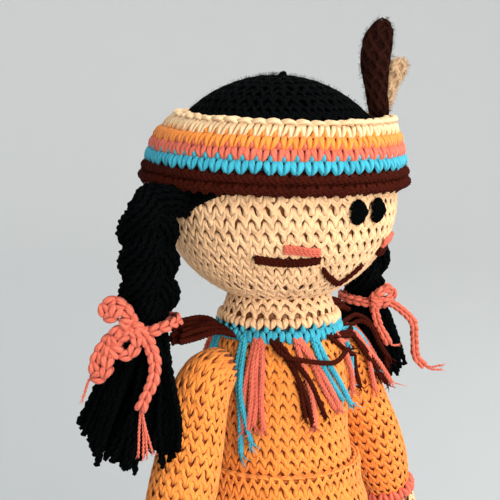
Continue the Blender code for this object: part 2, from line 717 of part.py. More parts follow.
def make_stitches(head, name, colour, places, height, thickness):
    """A line of embroidery on the face, through (azimuth, drop share) places."""
    points = [on_head(azimuth, drop * HEAD_DROP, GAP + thickness / 2) for azimuth, drop in places]
    rings = []
    for i, (point, normal) in enumerate(points):
        along = points[min(i + 1, len(points) - 1)][0] - points[max(i - 1, 0)][0]
        up = along.cross(normal).normalized()
        rings.append(ring(point, normal * thickness / 2, up * height / 2, CORD_SIDES + 2))
    piece(name, skinned(rings), colour, head)


def make_face(head):
    """Eyes, mouth and the two bars on each cheek."""
    for name, side in SIDES:
        azimuth = side * EYE_AZIMUTH_DEG
        point, normal = on_head(azimuth, EYE_BELOW_EQUATOR, 0)
        bm = bmesh.new()
        bmesh.ops.create_uvsphere(bm, u_segments=ARM_SIDES, v_segments=CORD_SIDES, radius=1)
        bmesh.ops.scale(bm, verts=bm.verts, vec=(EYE_WIDTH / 2, EYE_DEPTH, EYE_HEIGHT / 2))
        turn = Matrix.Rotation(math.radians(azimuth), 3, "Z")
        bmesh.ops.rotate(bm, verts=bm.verts, matrix=turn)
        eye = piece(f"{name}_eye", moved(bm, point), "black", head)
        boolean(eye, bpy.data.objects["cut_head"], "DIFFERENCE")
        for colour, height, places in (
            ("coral", CORAL_CHEEK_HEIGHT, CORAL_CHEEK_AZIMUTHS_AND_DROP_SHARES),
            ("brown", BROWN_CHEEK_HEIGHT, BROWN_CHEEK_AZIMUTHS_AND_DROP_SHARES),
        ):
            mirrored = [(side * azimuth, drop) for azimuth, drop in places]
            make_stitches(head, f"{name}_cheek_{colour}", colour, mirrored, height, CHEEK_THICKNESS)
    make_stitches(head, "mouth", "brown", MOUTH_AZIMUTHS_AND_DROP_SHARES, STITCH_THICKNESS, STITCH_THICKNESS)


def tassel_ring(side, down, out, back, swell):
    """(centre, half thickness, half width) of the loose end of the hair at one level."""
    centre = Vector((
        side * (BRAID_SPREAD + out * TASSEL_LEAN),
        BRAID_BACK + back * TASSEL_SWEEP_BACK,
        BRAID_BOTTOM_Z - GAP - down * TASSEL_LENGTH,
    ))
    thick = TASSEL_NECK_RADIUS + swell * (TASSEL_THICKNESS / 2 - TASSEL_NECK_RADIUS)
    wide = TASSEL_NECK_RADIUS + swell * (TASSEL_WIDTH / 2 - TASSEL_NECK_RADIUS)
    return centre, thick, wide


def on_tassel(side, down, angle_deg, lift):
    """A point off the tassel's surface, by share of its length and angle from its outer side forwards."""
    for low, high in zip(TASSEL_SHARES, TASSEL_SHARES[1:]):
        if down <= high[0]:
            break
    share = (down - low[0]) / (high[0] - low[0])
    centre, thick, wide = tassel_ring(side, *(a + share * (b - a) for a, b in zip(low, high)))
    angle = math.radians(angle_deg)
    return centre + Vector((side * (thick + lift) * math.cos(angle), -(wide + lift) * math.sin(angle), 0))


def make_braid(name, side, head):
    """Braid, loose end and the cord tied round it, hinged where the hair leaves the head."""
    root_x = math.sqrt(HEAD_RADIUS**2 - BRAID_BACK**2) + GAP
    hinge = pivot(f"{name}_braid_root", (side * root_x, BRAID_BACK, BRAID_ROOT_Z + BRAID_ROOT_RADIUS), head)
    reach = BRAID_SPREAD - root_x
    shoulder = [
        (Vector((side * (root_x + out * reach), BRAID_BACK, BRAID_ROOT_Z - down * BRAID_RADIUS)), share * BRAID_RADIUS)
        for out, down, share in BRAID_SHOULDER_SHARES
    ]
    rings = tube_rings(shoulder, ARM_SIDES, Vector((side, 0, 0)))
    first = BRAID_ROOT_Z - BRAID_RADIUS
    steps = BRAID_LOBES * 4
    for i in range(steps + 1):
        share = i / steps
        swell = (0.95 + BRAID_LOBE_SHARE * math.cos(math.tau * i / 4)) if i < steps else BRAID_END_SHARE
        sway = side * BRAID_LOBE_SWAY * math.cos(math.pi * i / 4)
        centre = Vector((side * BRAID_SPREAD + sway, BRAID_BACK, first + share * (BRAID_BOTTOM_Z - first)))
        radius = swell * BRAID_RADIUS
        rings.append(ring(centre, Vector((radius, 0, 0)), Vector((0, -radius, 0)), ARM_SIDES))
    piece(f"{name}_braid", skinned(rings), "black", hinge)

    rings = []
    for share in TASSEL_SHARES:
        centre, thick, wide = tassel_ring(side, *share)
        rings.append(ring(centre, Vector((thick, 0, 0)), Vector((0, wide, 0)), LIMB_SIDES))
    piece(f"{name}_tassel", skinned(rings), "black", hinge)
    make_tie(name, side, hinge)


def make_tie(name, side, hinge):
    """Crocheted cord round the top of the loose end, tied in a bow on its outer side."""
    low = BRAID_BOTTOM_Z - GAP - TIE_HEIGHT
    high = BRAID_BOTTOM_Z - GAP
    middle = (low + high) / 2
    inner = TASSEL_NECK_RADIUS + 3 * GAP
    outer = inner + TIE_CORD / 2
    wrap = [(outer - GAP, high), (outer, middle), (outer - GAP, low), (inner, low), (inner, high)]
    around = moved(turned(wrap, ARM_SIDES, closed=True), (side * BRAID_SPREAD, BRAID_BACK, 0))
    tie = piece(f"{name}_hair_tie", around, "coral", hinge)

    radius = TIE_CORD / 2
    knot = Vector((side * (BRAID_SPREAD + outer + TIE_KNOT_RADIUS / 2), BRAID_BACK, middle))
    bow = [
        (knot + Vector((side * out, -forward, up)) * TIE_LOOP_REACH, share * TIE_KNOT_RADIUS)
        for out, forward, up, share in TIE_BOW_SHARES
    ]
    parts = [cutter(f"join_{name}_bow", skinned(tube_rings(bow, CORD_SIDES + 2)), hinge)]
    fall = TIE_TAIL_LENGTH / TASSEL_LENGTH
    lift = GAP + radius
    tail = [(knot, radius)]
    for down, _, _, _ in TASSEL_SHARES[2:-2]:
        tail.append((on_tassel(side, down, TIE_TAIL_ANGLE_DEG, lift), radius))
    tail.append((on_tassel(side, TASSEL_SHARES[2][0] + fall, TIE_TAIL_ANGLE_DEG, lift), radius / 2))
    parts.append(cutter(f"join_{name}_tail", skinned(tube_rings(tail, CORD_SIDES)), hinge))
    for part in parts:
        boolean(tie, part, "UNION")


def main():
    """Builds the doll from the ground up."""
    for obj in list(bpy.data.objects):
        bpy.data.objects.remove(obj)
    root = pivot("doll", (0, 0, 0))
    make_torso(root)
    make_skirt(root)
    make_fringe(root)
    for name, side in SIDES:
        make_arm(name, side, root)
        make_leg(name, side, root)
    head = pivot("head_turn", (0, 0, COLLAR_TOP_Z + NECK_HEIGHT), root)
    make_head(head)
    make_band(head)
    make_feather(
        head, "brown", BROWN_FEATHER_AZIMUTH_DEG, BROWN_FEATHER_SHARES,
        BROWN_FEATHER_LENGTH, BROWN_FEATHER_WIDTH, BROWN_FEATHER_RADIUS, 0,
    )
    make_feather(
        head, "cream", CREAM_FEATHER_AZIMUTH_DEG, CREAM_FEATHER_SHARES,
        CREAM_FEATHER_LENGTH, CREAM_FEATHER_WIDTH, CREAM_FEATHER_RADIUS, CREAM_FEATHER_LEAN,
    )
    make_face(head)
    for name, side in SIDES:
        make_braid(name, side, head)
    root.location.y = -BAND_BACK_AT_BOTTOM


main()
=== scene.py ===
"""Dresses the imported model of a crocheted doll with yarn: real stitches, strands, braids and cords.

The doll faces -Y and stands on the floor. Shapes are worked out about the doll's own axis, in metres,
and moved to the frame's place as each mesh is made. A surface is a Loft, a stitch is one small mesh
that is laid along a loft's rows, and a strand is a tube of twisted plies that follows a path.
"""

from __future__ import annotations

import logging
import math
from collections.abc import Callable, Iterable, Sequence
from dataclasses import dataclass, field
from enum import Enum

import bmesh
import bpy
import numpy as np
from mathutils import Matrix, Vector

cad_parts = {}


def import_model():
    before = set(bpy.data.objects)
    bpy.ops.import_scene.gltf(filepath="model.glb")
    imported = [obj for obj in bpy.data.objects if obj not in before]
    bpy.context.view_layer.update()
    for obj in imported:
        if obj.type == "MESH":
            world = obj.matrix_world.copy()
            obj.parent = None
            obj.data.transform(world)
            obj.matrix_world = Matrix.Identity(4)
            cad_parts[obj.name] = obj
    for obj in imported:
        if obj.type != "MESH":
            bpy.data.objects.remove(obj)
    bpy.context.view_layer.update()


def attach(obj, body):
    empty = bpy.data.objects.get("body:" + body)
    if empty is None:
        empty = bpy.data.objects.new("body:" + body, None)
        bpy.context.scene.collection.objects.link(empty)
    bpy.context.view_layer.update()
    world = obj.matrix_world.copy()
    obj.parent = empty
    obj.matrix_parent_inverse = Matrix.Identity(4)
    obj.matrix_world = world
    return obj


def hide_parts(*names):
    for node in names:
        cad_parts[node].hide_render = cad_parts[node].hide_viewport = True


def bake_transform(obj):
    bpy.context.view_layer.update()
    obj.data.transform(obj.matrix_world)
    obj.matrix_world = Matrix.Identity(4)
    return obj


LOG = logging.getLogger("doll")
MM = 0.001
SEED = 7

# Camera, from the head's middle
CAMERA_FROM_HEAD = Vector((-341.2, -337.6, 50.0)) * MM
TARGET_FROM_HEAD = Vector((-8.4, 8.5, -21.6)) * MM
LENS_MM = 84.5
SENSOR_MM = 36.0

# Gauge of the crochet
PITCH = 5.05 * MM
ROW = 5.1 * MM
COVER = 1.35 * MM

# Body, from the floor up
AXIS_Y = -3.0 * MM
TORSO_Z = 97.5 * MM
TORSO_HEIGHT = 82.7 * MM
CHEST_RADIUS = 28.8 * MM
COLLAR_Z = 180.5 * MM
COLLAR_TOP_Z = 185.0 * MM
COLLAR_RADIUS = 25.5 * MM
NECK_TOP_Z = 197.5 * MM
NECK_BASE_RADIUS = 24.6 * MM
NECK_RADIUS = 20.6 * MM
HEM_Z = 88.0 * MM
SKIRT_TOP_Z = 125.5 * MM
SKIRT_RADII = (42.5, 41.0, 39.6, 38.4, 37.4, 35.6, 34.8, 34.7)
HEAD_Z = 235.0 * MM
HEAD_RADIUS = 48.0 * MM
HEAD_RISE = 47.0 * MM
HEAD_DROP = 42.5 * MM
HAIR_RADIUS = 51.0 * MM
HAIR_RISE = 50.0 * MM
HAIR_BACK = 2.0 * MM
HAIR_FRONT_EDGE = 22.0 * MM
HAIR_BACK_EDGE = -10.0 * MM
BAND_Z = 243.2 * MM
BAND_HEIGHT = 25.8 * MM
BAND_BOTTOM_RADIUS = 54.3 * MM
BAND_TOP_RADIUS = 47.0 * MM
BAND_SHIFTS = (3.0 * MM, 1.0 * MM)
BAND_TILT = math.radians(2.0)
# How far the stitched top edge leans in towards the hair all round, and how much further at the back than at the side
BAND_LEAN = 4.8 * MM
BAND_LEAN_BACK = 3.4 * MM
SHOULDER = Vector((29.1, 1.5, 168.2)) * MM
HIP = Vector((17.0, 0.0, 84.0)) * MM
BRAID_X = 63.0 * MM
BRAID_Y = 7.5 * MM
BRAID_TOP_Z = 229.0 * MM
BRAID_BOTTOM_Z = 191.0 * MM
BRAID_HINGE = Vector((47.7, 7.5, 233.8)) * MM
TASSEL_LENGTH = 53.0 * MM

TORSO_SHARES = (
    (0.66, 0.0), (0.86, 0.028), (0.99, 0.085), (1.06, 0.16), (1.083, 0.25), (1.08, 0.33), (1.055, 0.39),
    (1.015, 0.49), (1.01, 0.635), (1.0, 0.755), (0.983, 0.865), (0.938, 0.943), (0.861, 1.0),
)

SIDES = (("right", -1), ("left", 1))


def srgb(code: str) -> tuple[float, float, float, float]:
    """Converts a colour from hex to linear light.

    Args:
        code: Six hex digits with a leading hash.

    Returns:
        Linear red, green, blue and alpha.
    """
    values = [int(code[i : i + 2], 16) / 255 for i in (1, 3, 5)]
    linear = [v / 12.92 if v <= 0.04045 else ((v + 0.055) / 1.055) ** 2.4 for v in values]
    return (*linear, 1.0)


@dataclass(frozen=True)
class Finish:
    """How one colour of yarn looks: its own colour on the lit crests, and a darker colour painted as the shade between
    its stitches.
    """

    name: str
    crest: str
    # colour painted as the shade in the hollows between stitches
    shaded: str
    slot: str
    sheen: float = 0.12
    ply: float = 0.35
    mottle: float = 0.12
    shine: float = 0.25


class Yarn(Enum):
    """The colours of yarn on the doll."""

    # Each finish gives the colour of the lit crests, then the colour painted as shade between the stitches
    SKIN = Finish("skin", "#F6C898", "#7C441C", "skin")
    ORANGE = Finish("orange", "#F2933E", "#9E3D0E", "orange")
    CORAL = Finish("coral", "#DE7058", "#8E2618", "coral")
    TURQUOISE = Finish("turquoise", "#3CAFC6", "#0A4F68", "turquoise")
    BROWN = Finish("brown", "#43160D", "#1A0704", "brown", sheen=0.0, ply=0.5, shine=0.03)
    CREAM = Finish("cream", "#F3CFA2", "#96683A", "cream")
    QUILL = Finish("quill", "#2A120C", "#0C0403", "brown", sheen=0.0, ply=0.5, mottle=0.4, shine=0.04)
    DOWN = Finish("down", "#CDAC86", "#6B4C30", "cream", mottle=0.3)
    BLACK = Finish("black", "#050708", "#010101", "black", sheen=0.0, ply=0.5, shine=0.02)


def add_node(tree: bpy.types.NodeTree, kind: str, inputs: dict | None = None, **settings) -> bpy.types.Node:
    """Adds a shader node.

    Args:
        tree: The node tree.
        kind: The node's type name, without its prefix.
        inputs: Socket name or number to a value, or to another node's output socket.
        **settings: The node's own properties.

    Returns:
        The node.
    """
    node = tree.nodes.new(f"ShaderNode{kind}")
    for key, value in settings.items():
        setattr(node, key, value)
    for key, value in (inputs or {}).items():
        if isinstance(value, bpy.types.NodeSocket):
            tree.links.new(value, node.inputs[key])
        else:
            node.inputs[key].default_value = value
    return node


class MaterialLibrary:
    """Makes each material once."""

    def __init__(self) -> None:
        self.made: dict[str, bpy.types.Material] = {}

    def yarn(self, yarn: Yarn) -> bpy.types.Material:
        """Spun cotton: twisted plies, loose fibre, a little unevenness in the dye, and painted shade between the
        stitches and in the grooves between the plies.
        """
        finish = yarn.value
        if finish.name in self.made:
            return self.made[finish.name]
        material = bpy.data.materials.new(f"yarn_{finish.name}")
        material.use_nodes = True
        tree = material.node_tree
        tree.nodes.clear()
        place = add_node(tree, "TexCoord").outputs["Object"]
        # Per-vertex share of painted shade: 0 takes the shaded colour, 1 the lit crest colour
        depth = add_node(tree, "Attribute", attribute_name="depth").outputs["Fac"]
        along = add_node(tree, "SeparateXYZ", {0: add_node(tree, "UVMap", uv_map="yarn").outputs[0]})
        turns = add_node(tree, "Math", {0: along.outputs["X"], 1: math.tau}, operation="MULTIPLY")
        ply = add_node(tree, "Math", {0: turns.outputs[0]}, operation="SINE")
        fibre = add_node(tree, "TexNoise", {"Vector": place, "Scale": 2600.0, "Detail": 3.0, "Roughness": 0.65})
        patch = add_node(tree, "TexNoise", {"Vector": place, "Scale": 160.0, "Detail": 2.0})
        lift = add_node(tree, "MapRange", {"Value": patch.outputs["Fac"], 1: 0.3, 2: 0.7, 3: -finish.mottle, 4: finish.mottle})
        fleck = add_node(tree, "MapRange", {"Value": fibre.outputs["Fac"], 1: 0.35, 2: 0.65, 3: -0.16, 4: 0.12})
        # Painted shade in the grooves between the plies
        groove_shade = add_node(tree, "MapRange", {"Value": ply.outputs[0], 1: -1.0, 2: 1.0, 3: -0.22, 4: 0.06})
        total = depth
        for part in (lift, fleck, groove_shade):
            total = add_node(tree, "Math", {0: total, 1: part.outputs[0]}, operation="ADD").outputs[0]
        # Mixes the painted shade colour with the lit colour, by the painted share, the dye's mottle, the fibre flecks
        # and the grooves' painted shade
        mix = add_node(tree, "Mix", {"Factor": total, 6: srgb(finish.shaded), 7: srgb(finish.crest)}, data_type="RGBA")
        height = add_node(tree, "Math", {0: ply.outputs[0], 1: fibre.outputs["Fac"]}, operation="ADD")
        bump = add_node(tree, "Bump", {"Height": height.outputs[0], "Strength": finish.ply, "Distance": 0.0003})
        shader = add_node(
            tree,
            "BsdfPrincipled",
            {
                "Base Color": mix.outputs[2],
                "Roughness": 0.88,
                "Specular IOR Level": finish.shine,
                "Sheen Weight": finish.sheen,
                "Sheen Roughness": 0.5,
                "Normal": bump.outputs[0],
            },
        )
        add_node(tree, "OutputMaterial", {"Surface": shader.outputs[0]})
        self.made[finish.name] = material
        return material

    def paper(self, name: str, floor: str, wall: str) -> bpy.types.Material:
        """Studio paper with a faint grain, a little darker near the doll, where the light is strongest."""
        if name in self.made:
            return self.made[name]
        material = bpy.data.materials.new(name)
        material.use_nodes = True
        tree = material.node_tree
        tree.nodes.clear()
        place = add_node(tree, "TexCoord").outputs["Object"]
        grain = add_node(tree, "TexNoise", {"Vector": place, "Scale": 700.0, "Detail": 2.0})
        away = add_node(tree, "VectorMath", {0: place}, operation="LENGTH").outputs["Value"]
        rise = add_node(tree, "MapRange", {"Value": away, 1: 0.2, 2: 1.5})
        speck = add_node(tree, "MapRange", {"Value": grain.outputs["Fac"], 3: -0.1, 4: 0.1})
        share = add_node(tree, "Math", {0: rise.outputs[0], 1: speck.outputs[0]}, operation="ADD")
        mix = add_node(tree, "Mix", {"Factor": share.outputs[0], 6: srgb(floor), 7: srgb(wall)}, data_type="RGBA")
        shader = add_node(tree, "BsdfPrincipled", {"Base Color": mix.outputs[2], "Roughness": 0.9})
        add_node(tree, "OutputMaterial", {"Surface": shader.outputs[0]})
        self.made[name] = material
        return material


def smooth(points: Sequence[Sequence[float]], count: int) -> np.ndarray:
    """Runs a Catmull-Rom curve through points.

    Args:
        points: Two or more control points.
        count: How many points to return, evenly spaced in the curve's own steps.

    Returns:
        An array of points.
    """
    knots = np.asarray(points, float)
    padded = np.vstack([2 * knots[0] - knots[1], knots, 2 * knots[-1] - knots[-2]])
    place = np.linspace(0, len(knots) - 1, count)
    first = np.minimum(place.astype(int), len(knots) - 2)
    t = (place - first)[:, None]
    a, b, c, d = (padded[first + i] for i in range(4))
    return 0.5 * (2 * b + (c - a) * t + (2 * a - 5 * b + 4 * c - d) * t**2 + (3 * b - a - 3 * c + d) * t**3)


def even(points: np.ndarray, step: float) -> np.ndarray:
    """Spaces points evenly along a polyline, near a given step."""
    lengths = np.concatenate([[0], np.cumsum(np.linalg.norm(np.diff(points, axis=0), axis=1))])
    count = max(3, round(lengths[-1] / step) + 1)
    marks = np.linspace(0, lengths[-1], count)
    return np.stack([np.interp(marks, lengths, points[:, i]) for i in range(points.shape[1])], axis=1)


def unit(vectors: np.ndarray) -> np.ndarray:
    """Scales each vector to length one."""
    return vectors / np.maximum(np.linalg.norm(vectors, axis=-1, keepdims=True), 1e-12)


def carried_frames(points: np.ndarray, first: Sequence[float] = (0.31, 0.17, 0.93)) -> tuple[np.ndarray, np.ndarray]:
    """Two directions square to a path, carried along it without twist."""
    along = unit(np.gradient(points, axis=0))
    side = np.empty_like(points)
    last = np.asarray(first, float)
    for i, direction in enumerate(along):
        last = last - direction * np.dot(last, direction)
        last = last / max(np.linalg.norm(last), 1e-9)
        side[i] = last
    return side, np.cross(along, side)


@dataclass
class MeshParts:
    """Vertices and faces of one piece, gathered block by block."""

    verts: list[np.ndarray] = field(default_factory=list)
    quads: list[np.ndarray] = field(default_factory=list)
    coords: list[np.ndarray] = field(default_factory=list)
    # each vertex's share of painted shade
    lit_shares: list[np.ndarray] = field(default_factory=list)
    count: int = 0

    def add(self, verts: np.ndarray, quads: np.ndarray, coords: np.ndarray, lit_shares: np.ndarray | float) -> None:
        """Adds a block.

        Args:
            verts: Points, one row each.
            quads: Four vertex numbers a face; a triangle repeats its last one.
            coords: Yarn coordinates of each face's four corners.
            lit_shares: How much of each vertex is painted in shade, from 0 for fully shaded to 1 for the lit crest.
        """
        self.verts.append(verts)
        self.quads.append(quads + self.count)
        self.coords.append(coords)
        self.lit_shares.append(np.broadcast_to(np.asarray(lit_shares, float), (len(verts),)))
        self.count += len(verts)

    def tube(self, points: np.ndarray, radii: np.ndarray | float, sides: int = 6, depth: float = 0.9, twist: float = 0.006) -> None:
        """Adds a round tube with closed ends along a path, painted a little towards shade unless told otherwise."""
        radii = np.broadcast_to(np.asarray(radii, float), (len(points),))
        side, other = carried_frames(points)
        turns = np.arange(sides) / sides * math.tau
        rings = (
            points[:, None]
            + radii[:, None, None] * (np.cos(turns)[None, :, None] * side[:, None] + np.sin(turns)[None, :, None] * other[:, None])
        )
        self.rings(rings, depth, twist)

    def rings(self, rings: np.ndarray, depth: np.ndarray | float = 0.9, twist: float = 0.006) -> None:
        """Adds a skin through rings of points, closed at both ends by a fan, and painted a little towards shade unless
        told otherwise.
        """
        levels, sides = rings.shape[:2]
        grid = np.arange(levels * sides).reshape(levels, sides)
        nexts = np.roll(grid, -1, axis=1)
        quads = np.stack([grid[:-1], nexts[:-1], nexts[1:], grid[1:]], axis=-1).reshape(-1, 4)
        steps = np.linalg.norm(np.diff(rings.mean(axis=1), axis=0), axis=1)
        lengths = np.concatenate([[0], np.cumsum(steps)]) / twist
        u = np.arange(sides)[None, :] * 3 / sides + lengths[:, None]
        nxt = u + 3 / sides
        v = np.broadcast_to(lengths[:, None], u.shape)
        corners = [(u[:-1], v[:-1]), (nxt[:-1], v[:-1]), (nxt[1:], v[1:]), (u[1:], v[1:])]
        coords = np.stack([np.stack(pair, axis=-1) for pair in corners], axis=2).reshape(-1, 4, 2)
        verts = np.concatenate([rings.reshape(-1, 3), rings[0].mean(axis=0)[None], rings[-1].mean(axis=0)[None]])
        low, high = len(verts) - 2, len(verts) - 1
        bottom = np.stack([np.roll(grid[0], -1), grid[0], np.full(sides, low), np.full(sides, low)], axis=-1)
        top = np.stack([grid[-1], np.roll(grid[-1], -1), np.full(sides, high), np.full(sides, high)], axis=-1)
        caps = np.zeros((2 * sides, 4, 2))
        lit_shares = np.asarray(depth, float)
        if lit_shares.ndim:
            # the end caps are painted partly in shade
            lit_shares = np.concatenate([lit_shares.reshape(-1), [0.4, 0.4]])
        self.add(verts, np.concatenate([quads, bottom, top]), np.concatenate([coords, caps]), lit_shares)

    def make(self, name: str, material: bpy.types.Material) -> bpy.types.Object:
        """Builds the object, in the frame's place.

        Args:
            name: The piece's name.
            material: Its material.

        Returns:
            The object, at the origin.
        """
        verts = np.concatenate(self.verts) + np.array([0, AXIS_Y, 0])
        quads = np.concatenate(self.quads)
        coords = np.concatenate(self.coords)
        lit_shares = np.concatenate(self.lit_shares)
        triangle = quads[:, 2] == quads[:, 3]
        keep = np.ones((len(quads), 4), bool)
        keep[triangle, 3] = False
        loops = quads[keep]
        sizes = np.where(triangle, 3, 4)
        mesh = bpy.data.meshes.new(name)
        mesh.vertices.add(len(verts))
        mesh.vertices.foreach_set("co", verts.ravel())
        mesh.loops.add(len(loops))
        mesh.loops.foreach_set("vertex_index", loops)
        mesh.polygons.add(len(quads))
        mesh.polygons.foreach_set("loop_start", np.concatenate([[0], np.cumsum(sizes)[:-1]]))
        mesh.update(calc_edges=True)
        mesh.uv_layers.new(name="yarn").uv.foreach_set("vector", coords[keep].ravel())
        # each vertex's share of painted shade, read by the yarn material
        mesh.attributes.new("depth", "FLOAT", "POINT").data.foreach_set("value", lit_shares)
        mesh.shade_smooth()
        mesh.validate()
        mesh.materials.append(material)
        obj = bpy.data.objects.new(name, mesh)
        bpy.context.collection.objects.link(obj)
        return obj


class Loft:
    """A smooth surface through closed rings of points, with its normal pointing out."""

    def __init__(self, rings: Iterable[Sequence[Sequence[float]]]) -> None:
        self.rings = np.asarray(list(rings), float)
        steps = np.linalg.norm(np.diff(self.rings, axis=0), axis=2).mean(axis=1)
        self.marks = np.concatenate([[0], np.cumsum(steps)])
        self.length = float(self.marks[-1])

    def point(self, turn: np.ndarray, arc: np.ndarray) -> np.ndarray:
        """Points at a share of a turn round the surface and a length along it; past its ends it goes on straight."""
        levels, sides = self.rings.shape[:2]
        inside = np.clip(arc, 0, self.length)
        u = np.mod(turn, 1.0) * sides
        v = np.interp(inside, self.marks, np.arange(levels))
        i = np.floor(u).astype(int)
        j = np.minimum(np.floor(v).astype(int), levels - 2)
        wu, wv = self.weights(u - i), self.weights(v - j)
        total = np.zeros((*np.shape(u), 3))
        for a in range(4):
            level = np.clip(j + a - 1, 0, levels - 1)
            row = sum(wu[b][..., None] * self.rings[level, (i + b - 1) % sides] for b in range(4))
            total = total + wv[a][..., None] * row
        low = (self.rings[1] - self.rings[0]) / (self.marks[1] - self.marks[0])
        high = (self.rings[-1] - self.rings[-2]) / (self.marks[-1] - self.marks[-2])
        past = (arc - inside)[..., None]
        return total + past * np.where(past < 0, low[i % sides], high[i % sides])

    @staticmethod
    def weights(t: np.ndarray) -> tuple[np.ndarray, ...]:
        """Catmull-Rom weights of four neighbours."""
        return (
            0.5 * (-t + 2 * t**2 - t**3),
            0.5 * (2 - 5 * t**2 + 3 * t**3),
            0.5 * (t + 4 * t**2 - 3 * t**3),
            0.5 * (-(t**2) + t**3),
        )

    def frame(self, turn: np.ndarray, arc: np.ndarray) -> tuple[np.ndarray, np.ndarray]:
        """Points and outward normals."""
        margin = 0.15 * MM
        inside = np.clip(arc, margin, self.length - margin)
        step = 0.004
        across = self.point(turn + step, inside) - self.point(turn - step, inside)
        up = self.point(turn, inside + margin) - self.point(turn, inside - margin)
        return self.point(turn, arc), unit(np.cross(across, up))

    def girth(self, arc: float) -> float:
        """Length round the surface at a length along it."""
        turns = np.linspace(0, 1, 49)
        points = self.point(turns, np.full(49, arc))
        return float(np.linalg.norm(np.diff(points, axis=0), axis=1).sum())


def circle(centre: Sequence[float], across: Sequence[float], other: Sequence[float], sides: int = 24) -> np.ndarray:
    """A ring of points about a centre, spanned by two half axes."""
    turns = np.arange(sides) / sides * math.tau
    return (
        np.asarray(centre, float)
        + np.cos(turns)[:, None] * np.asarray(across, float)
        + np.sin(turns)[:, None] * np.asarray(other, float)
    )


def turned(profile: Iterable[Sequence[float]], sides: int = 32) -> Loft:
    """A loft of level circles, from (radius, height) or (radius, height, setback) points, lowest first."""
    rings = []
    for radius, height, *back in profile:
        centre = (0, back[0] if back else 0, height)
        rings.append(circle(centre, (max(radius, 1e-5), 0, 0), (0, max(radius, 1e-5), 0), sides))
    return Loft(rings)


def along_spine(stations: Sequence[tuple[Sequence[float], float]], sides: int = 20, start: Sequence[float] | None = None) -> Loft:
    """A loft of round rings square to a spine of (point, radius) stations."""
    points = np.array([point for point, _ in stations], float)
    directions = unit(np.gradient(points, axis=0))
    if start is not None:
        directions[0] = start
    rings = []
    for point, direction, (_, radius) in zip(points, directions, stations):
        first = unit(np.cross((0, 1, 0), direction))
        rings.append(circle(point, first * radius, np.cross(direction, first) * radius, sides))
    return Loft(rings)


def ellipse_arc(radius: float, rise: float, drop: float, low: float, high: float, count: int) -> list[tuple[float, float]]:
    """(radius, height) points of an egg about height 0, between two latitudes in degrees."""
    points = []
    for latitude in np.radians(np.linspace(low, high, count)):
        points.append((radius * max(math.cos(latitude), 0.0), (rise if latitude > 0 else drop) * math.sin(latitude)))
    return points


@dataclass(frozen=True)
class Stitch:
    """One stitch, in shares of the pitch and the row and in metres off the surface."""

    verts: np.ndarray
    quads: np.ndarray
    coords: np.ndarray
    # each vertex's share of painted shade, from its height
    lit_shares: np.ndarray


def stitch_lit_share(heights: np.ndarray) -> np.ndarray:
    """How lit a point of a stitch is painted, by its height off the surface: the lower, the more painted shade."""
    share = np.clip((heights + 1.8 * MM) / (1.6 * MM), 0, 1)
    return 0.3 + 0.65 * share


def flat_tube(path: Sequence[Sequence[float]], widths: Sequence[float], thick: float, sides: int = 6, levels: int = 6) -> np.ndarray:
    """Rings of a bent tube that is drawn in a plane and keeps its height upright."""
    points = smooth(path, levels)
    spread = smooth([(w,) for w in widths], levels)[:, 0]
    flat = unit(np.gradient(points[:, :2], axis=0))
    turns = np.arange(sides) / sides * math.tau
    rings = []
    for point, direction, width in zip(points, flat, spread):
        across = np.array([-direction[1], direction[0], 0.0])
        rings.append([point - np.cos(a) * width * across + np.sin(a) * width * thick * np.array([0, 0, 1.0]) for a in turns])
    return np.asarray(rings)


def stitch_of(
    leg: Sequence[Sequence[float]],
    widths: Sequence[float],
    knob: Sequence[Sequence[float]] = (),
    girths: Sequence[float] = (),
    thick: float = 0.72,
    levels: int = 6,
) -> Stitch:
    """Builds a stitch from one leg, its mirror image and what stands between them.

    Args:
        leg: Millimetre points (across, along, off the surface) of the right leg.
        widths: Half widths of the leg at those points.
        knob: Points of the part between the legs, if it shows.
        girths: Half widths of that part.
        thick: Thickness of a leg as a share of its width.
        levels: How many rings each leg has.

    Returns:
        The stitch, in shares of a pitch and a row.
    """
    parts = MeshParts()
    path = np.array(leg) * MM
    for side in (-1, 1):
        rings = flat_tube(path * np.array([side, 1, 1]), [w * MM for w in widths], thick, levels=levels)
        parts.rings(rings[:, ::-1], twist=0.0045)
    if knob:
        rings = flat_tube(np.array(knob) * MM, [w * MM for w in girths], 0.8, levels=5)
        parts.rings(rings[:, ::-1], twist=0.0045)
    verts = np.concatenate(parts.verts)
    return Stitch(
        verts / np.array([PITCH, ROW, 1.0]),
        np.concatenate(parts.quads),
        np.concatenate(parts.coords),
        stitch_lit_share(verts[:, 2]),
    )


def hanging_stitch() -> Stitch:
    """Single crochet worked downwards: a slim post that comes out of a dark hole above and spreads into two legs."""
    leg = (
        (0.3, 4.2, -0.9), (0.34, 3.4, -0.45), (0.42, 2.5, -0.3), (0.6, 1.7, -0.24), (1.0, 0.85, -0.2),
        (1.7, 0.2, -0.18), (2.25, -0.5, -0.18), (2.48, -1.5, -0.2), (2.52, -2.7, -0.28), (2.52, -4.0, -0.6),
    )
    return stitch_of(leg, (0.55, 0.76, 1.0, 1.15, 1.15, 1.2, 1.2, 1.14, 1.08, 0.95), thick=0.4, levels=10)


def heart_stitch(knob: bool) -> Stitch:
    """Single crochet worked upwards: two plump legs that meet in a point below."""
    leg = ((0.22, -3.8, -0.7), (0.7, -2.8, 0.05), (1.25, -1.4, 0.32), (1.55, 0.1, 0.2), (1.6, 1.4, -0.8))
    widths = (0.4, 0.85, 1.28, 1.28, 0.8)
    if not knob:
        return stitch_of(leg, widths)
    return stitch_of(leg, widths, ((0, 0.6, -0.9), (0, 1.7, 0.0), (0, 2.8, 0.1), (0, 3.9, -0.6)), (1.0, 1.15, 0.8, 0.3))


@dataclass(frozen=True)
class Crossing:
    """Two bodies that a piece spans, and where it leaves one and reaches the other; the piece itself is left fixed in
    place.
    """

    first: str
    second: str
    start: tuple[float, float, float]
    end: tuple[float, float, float]


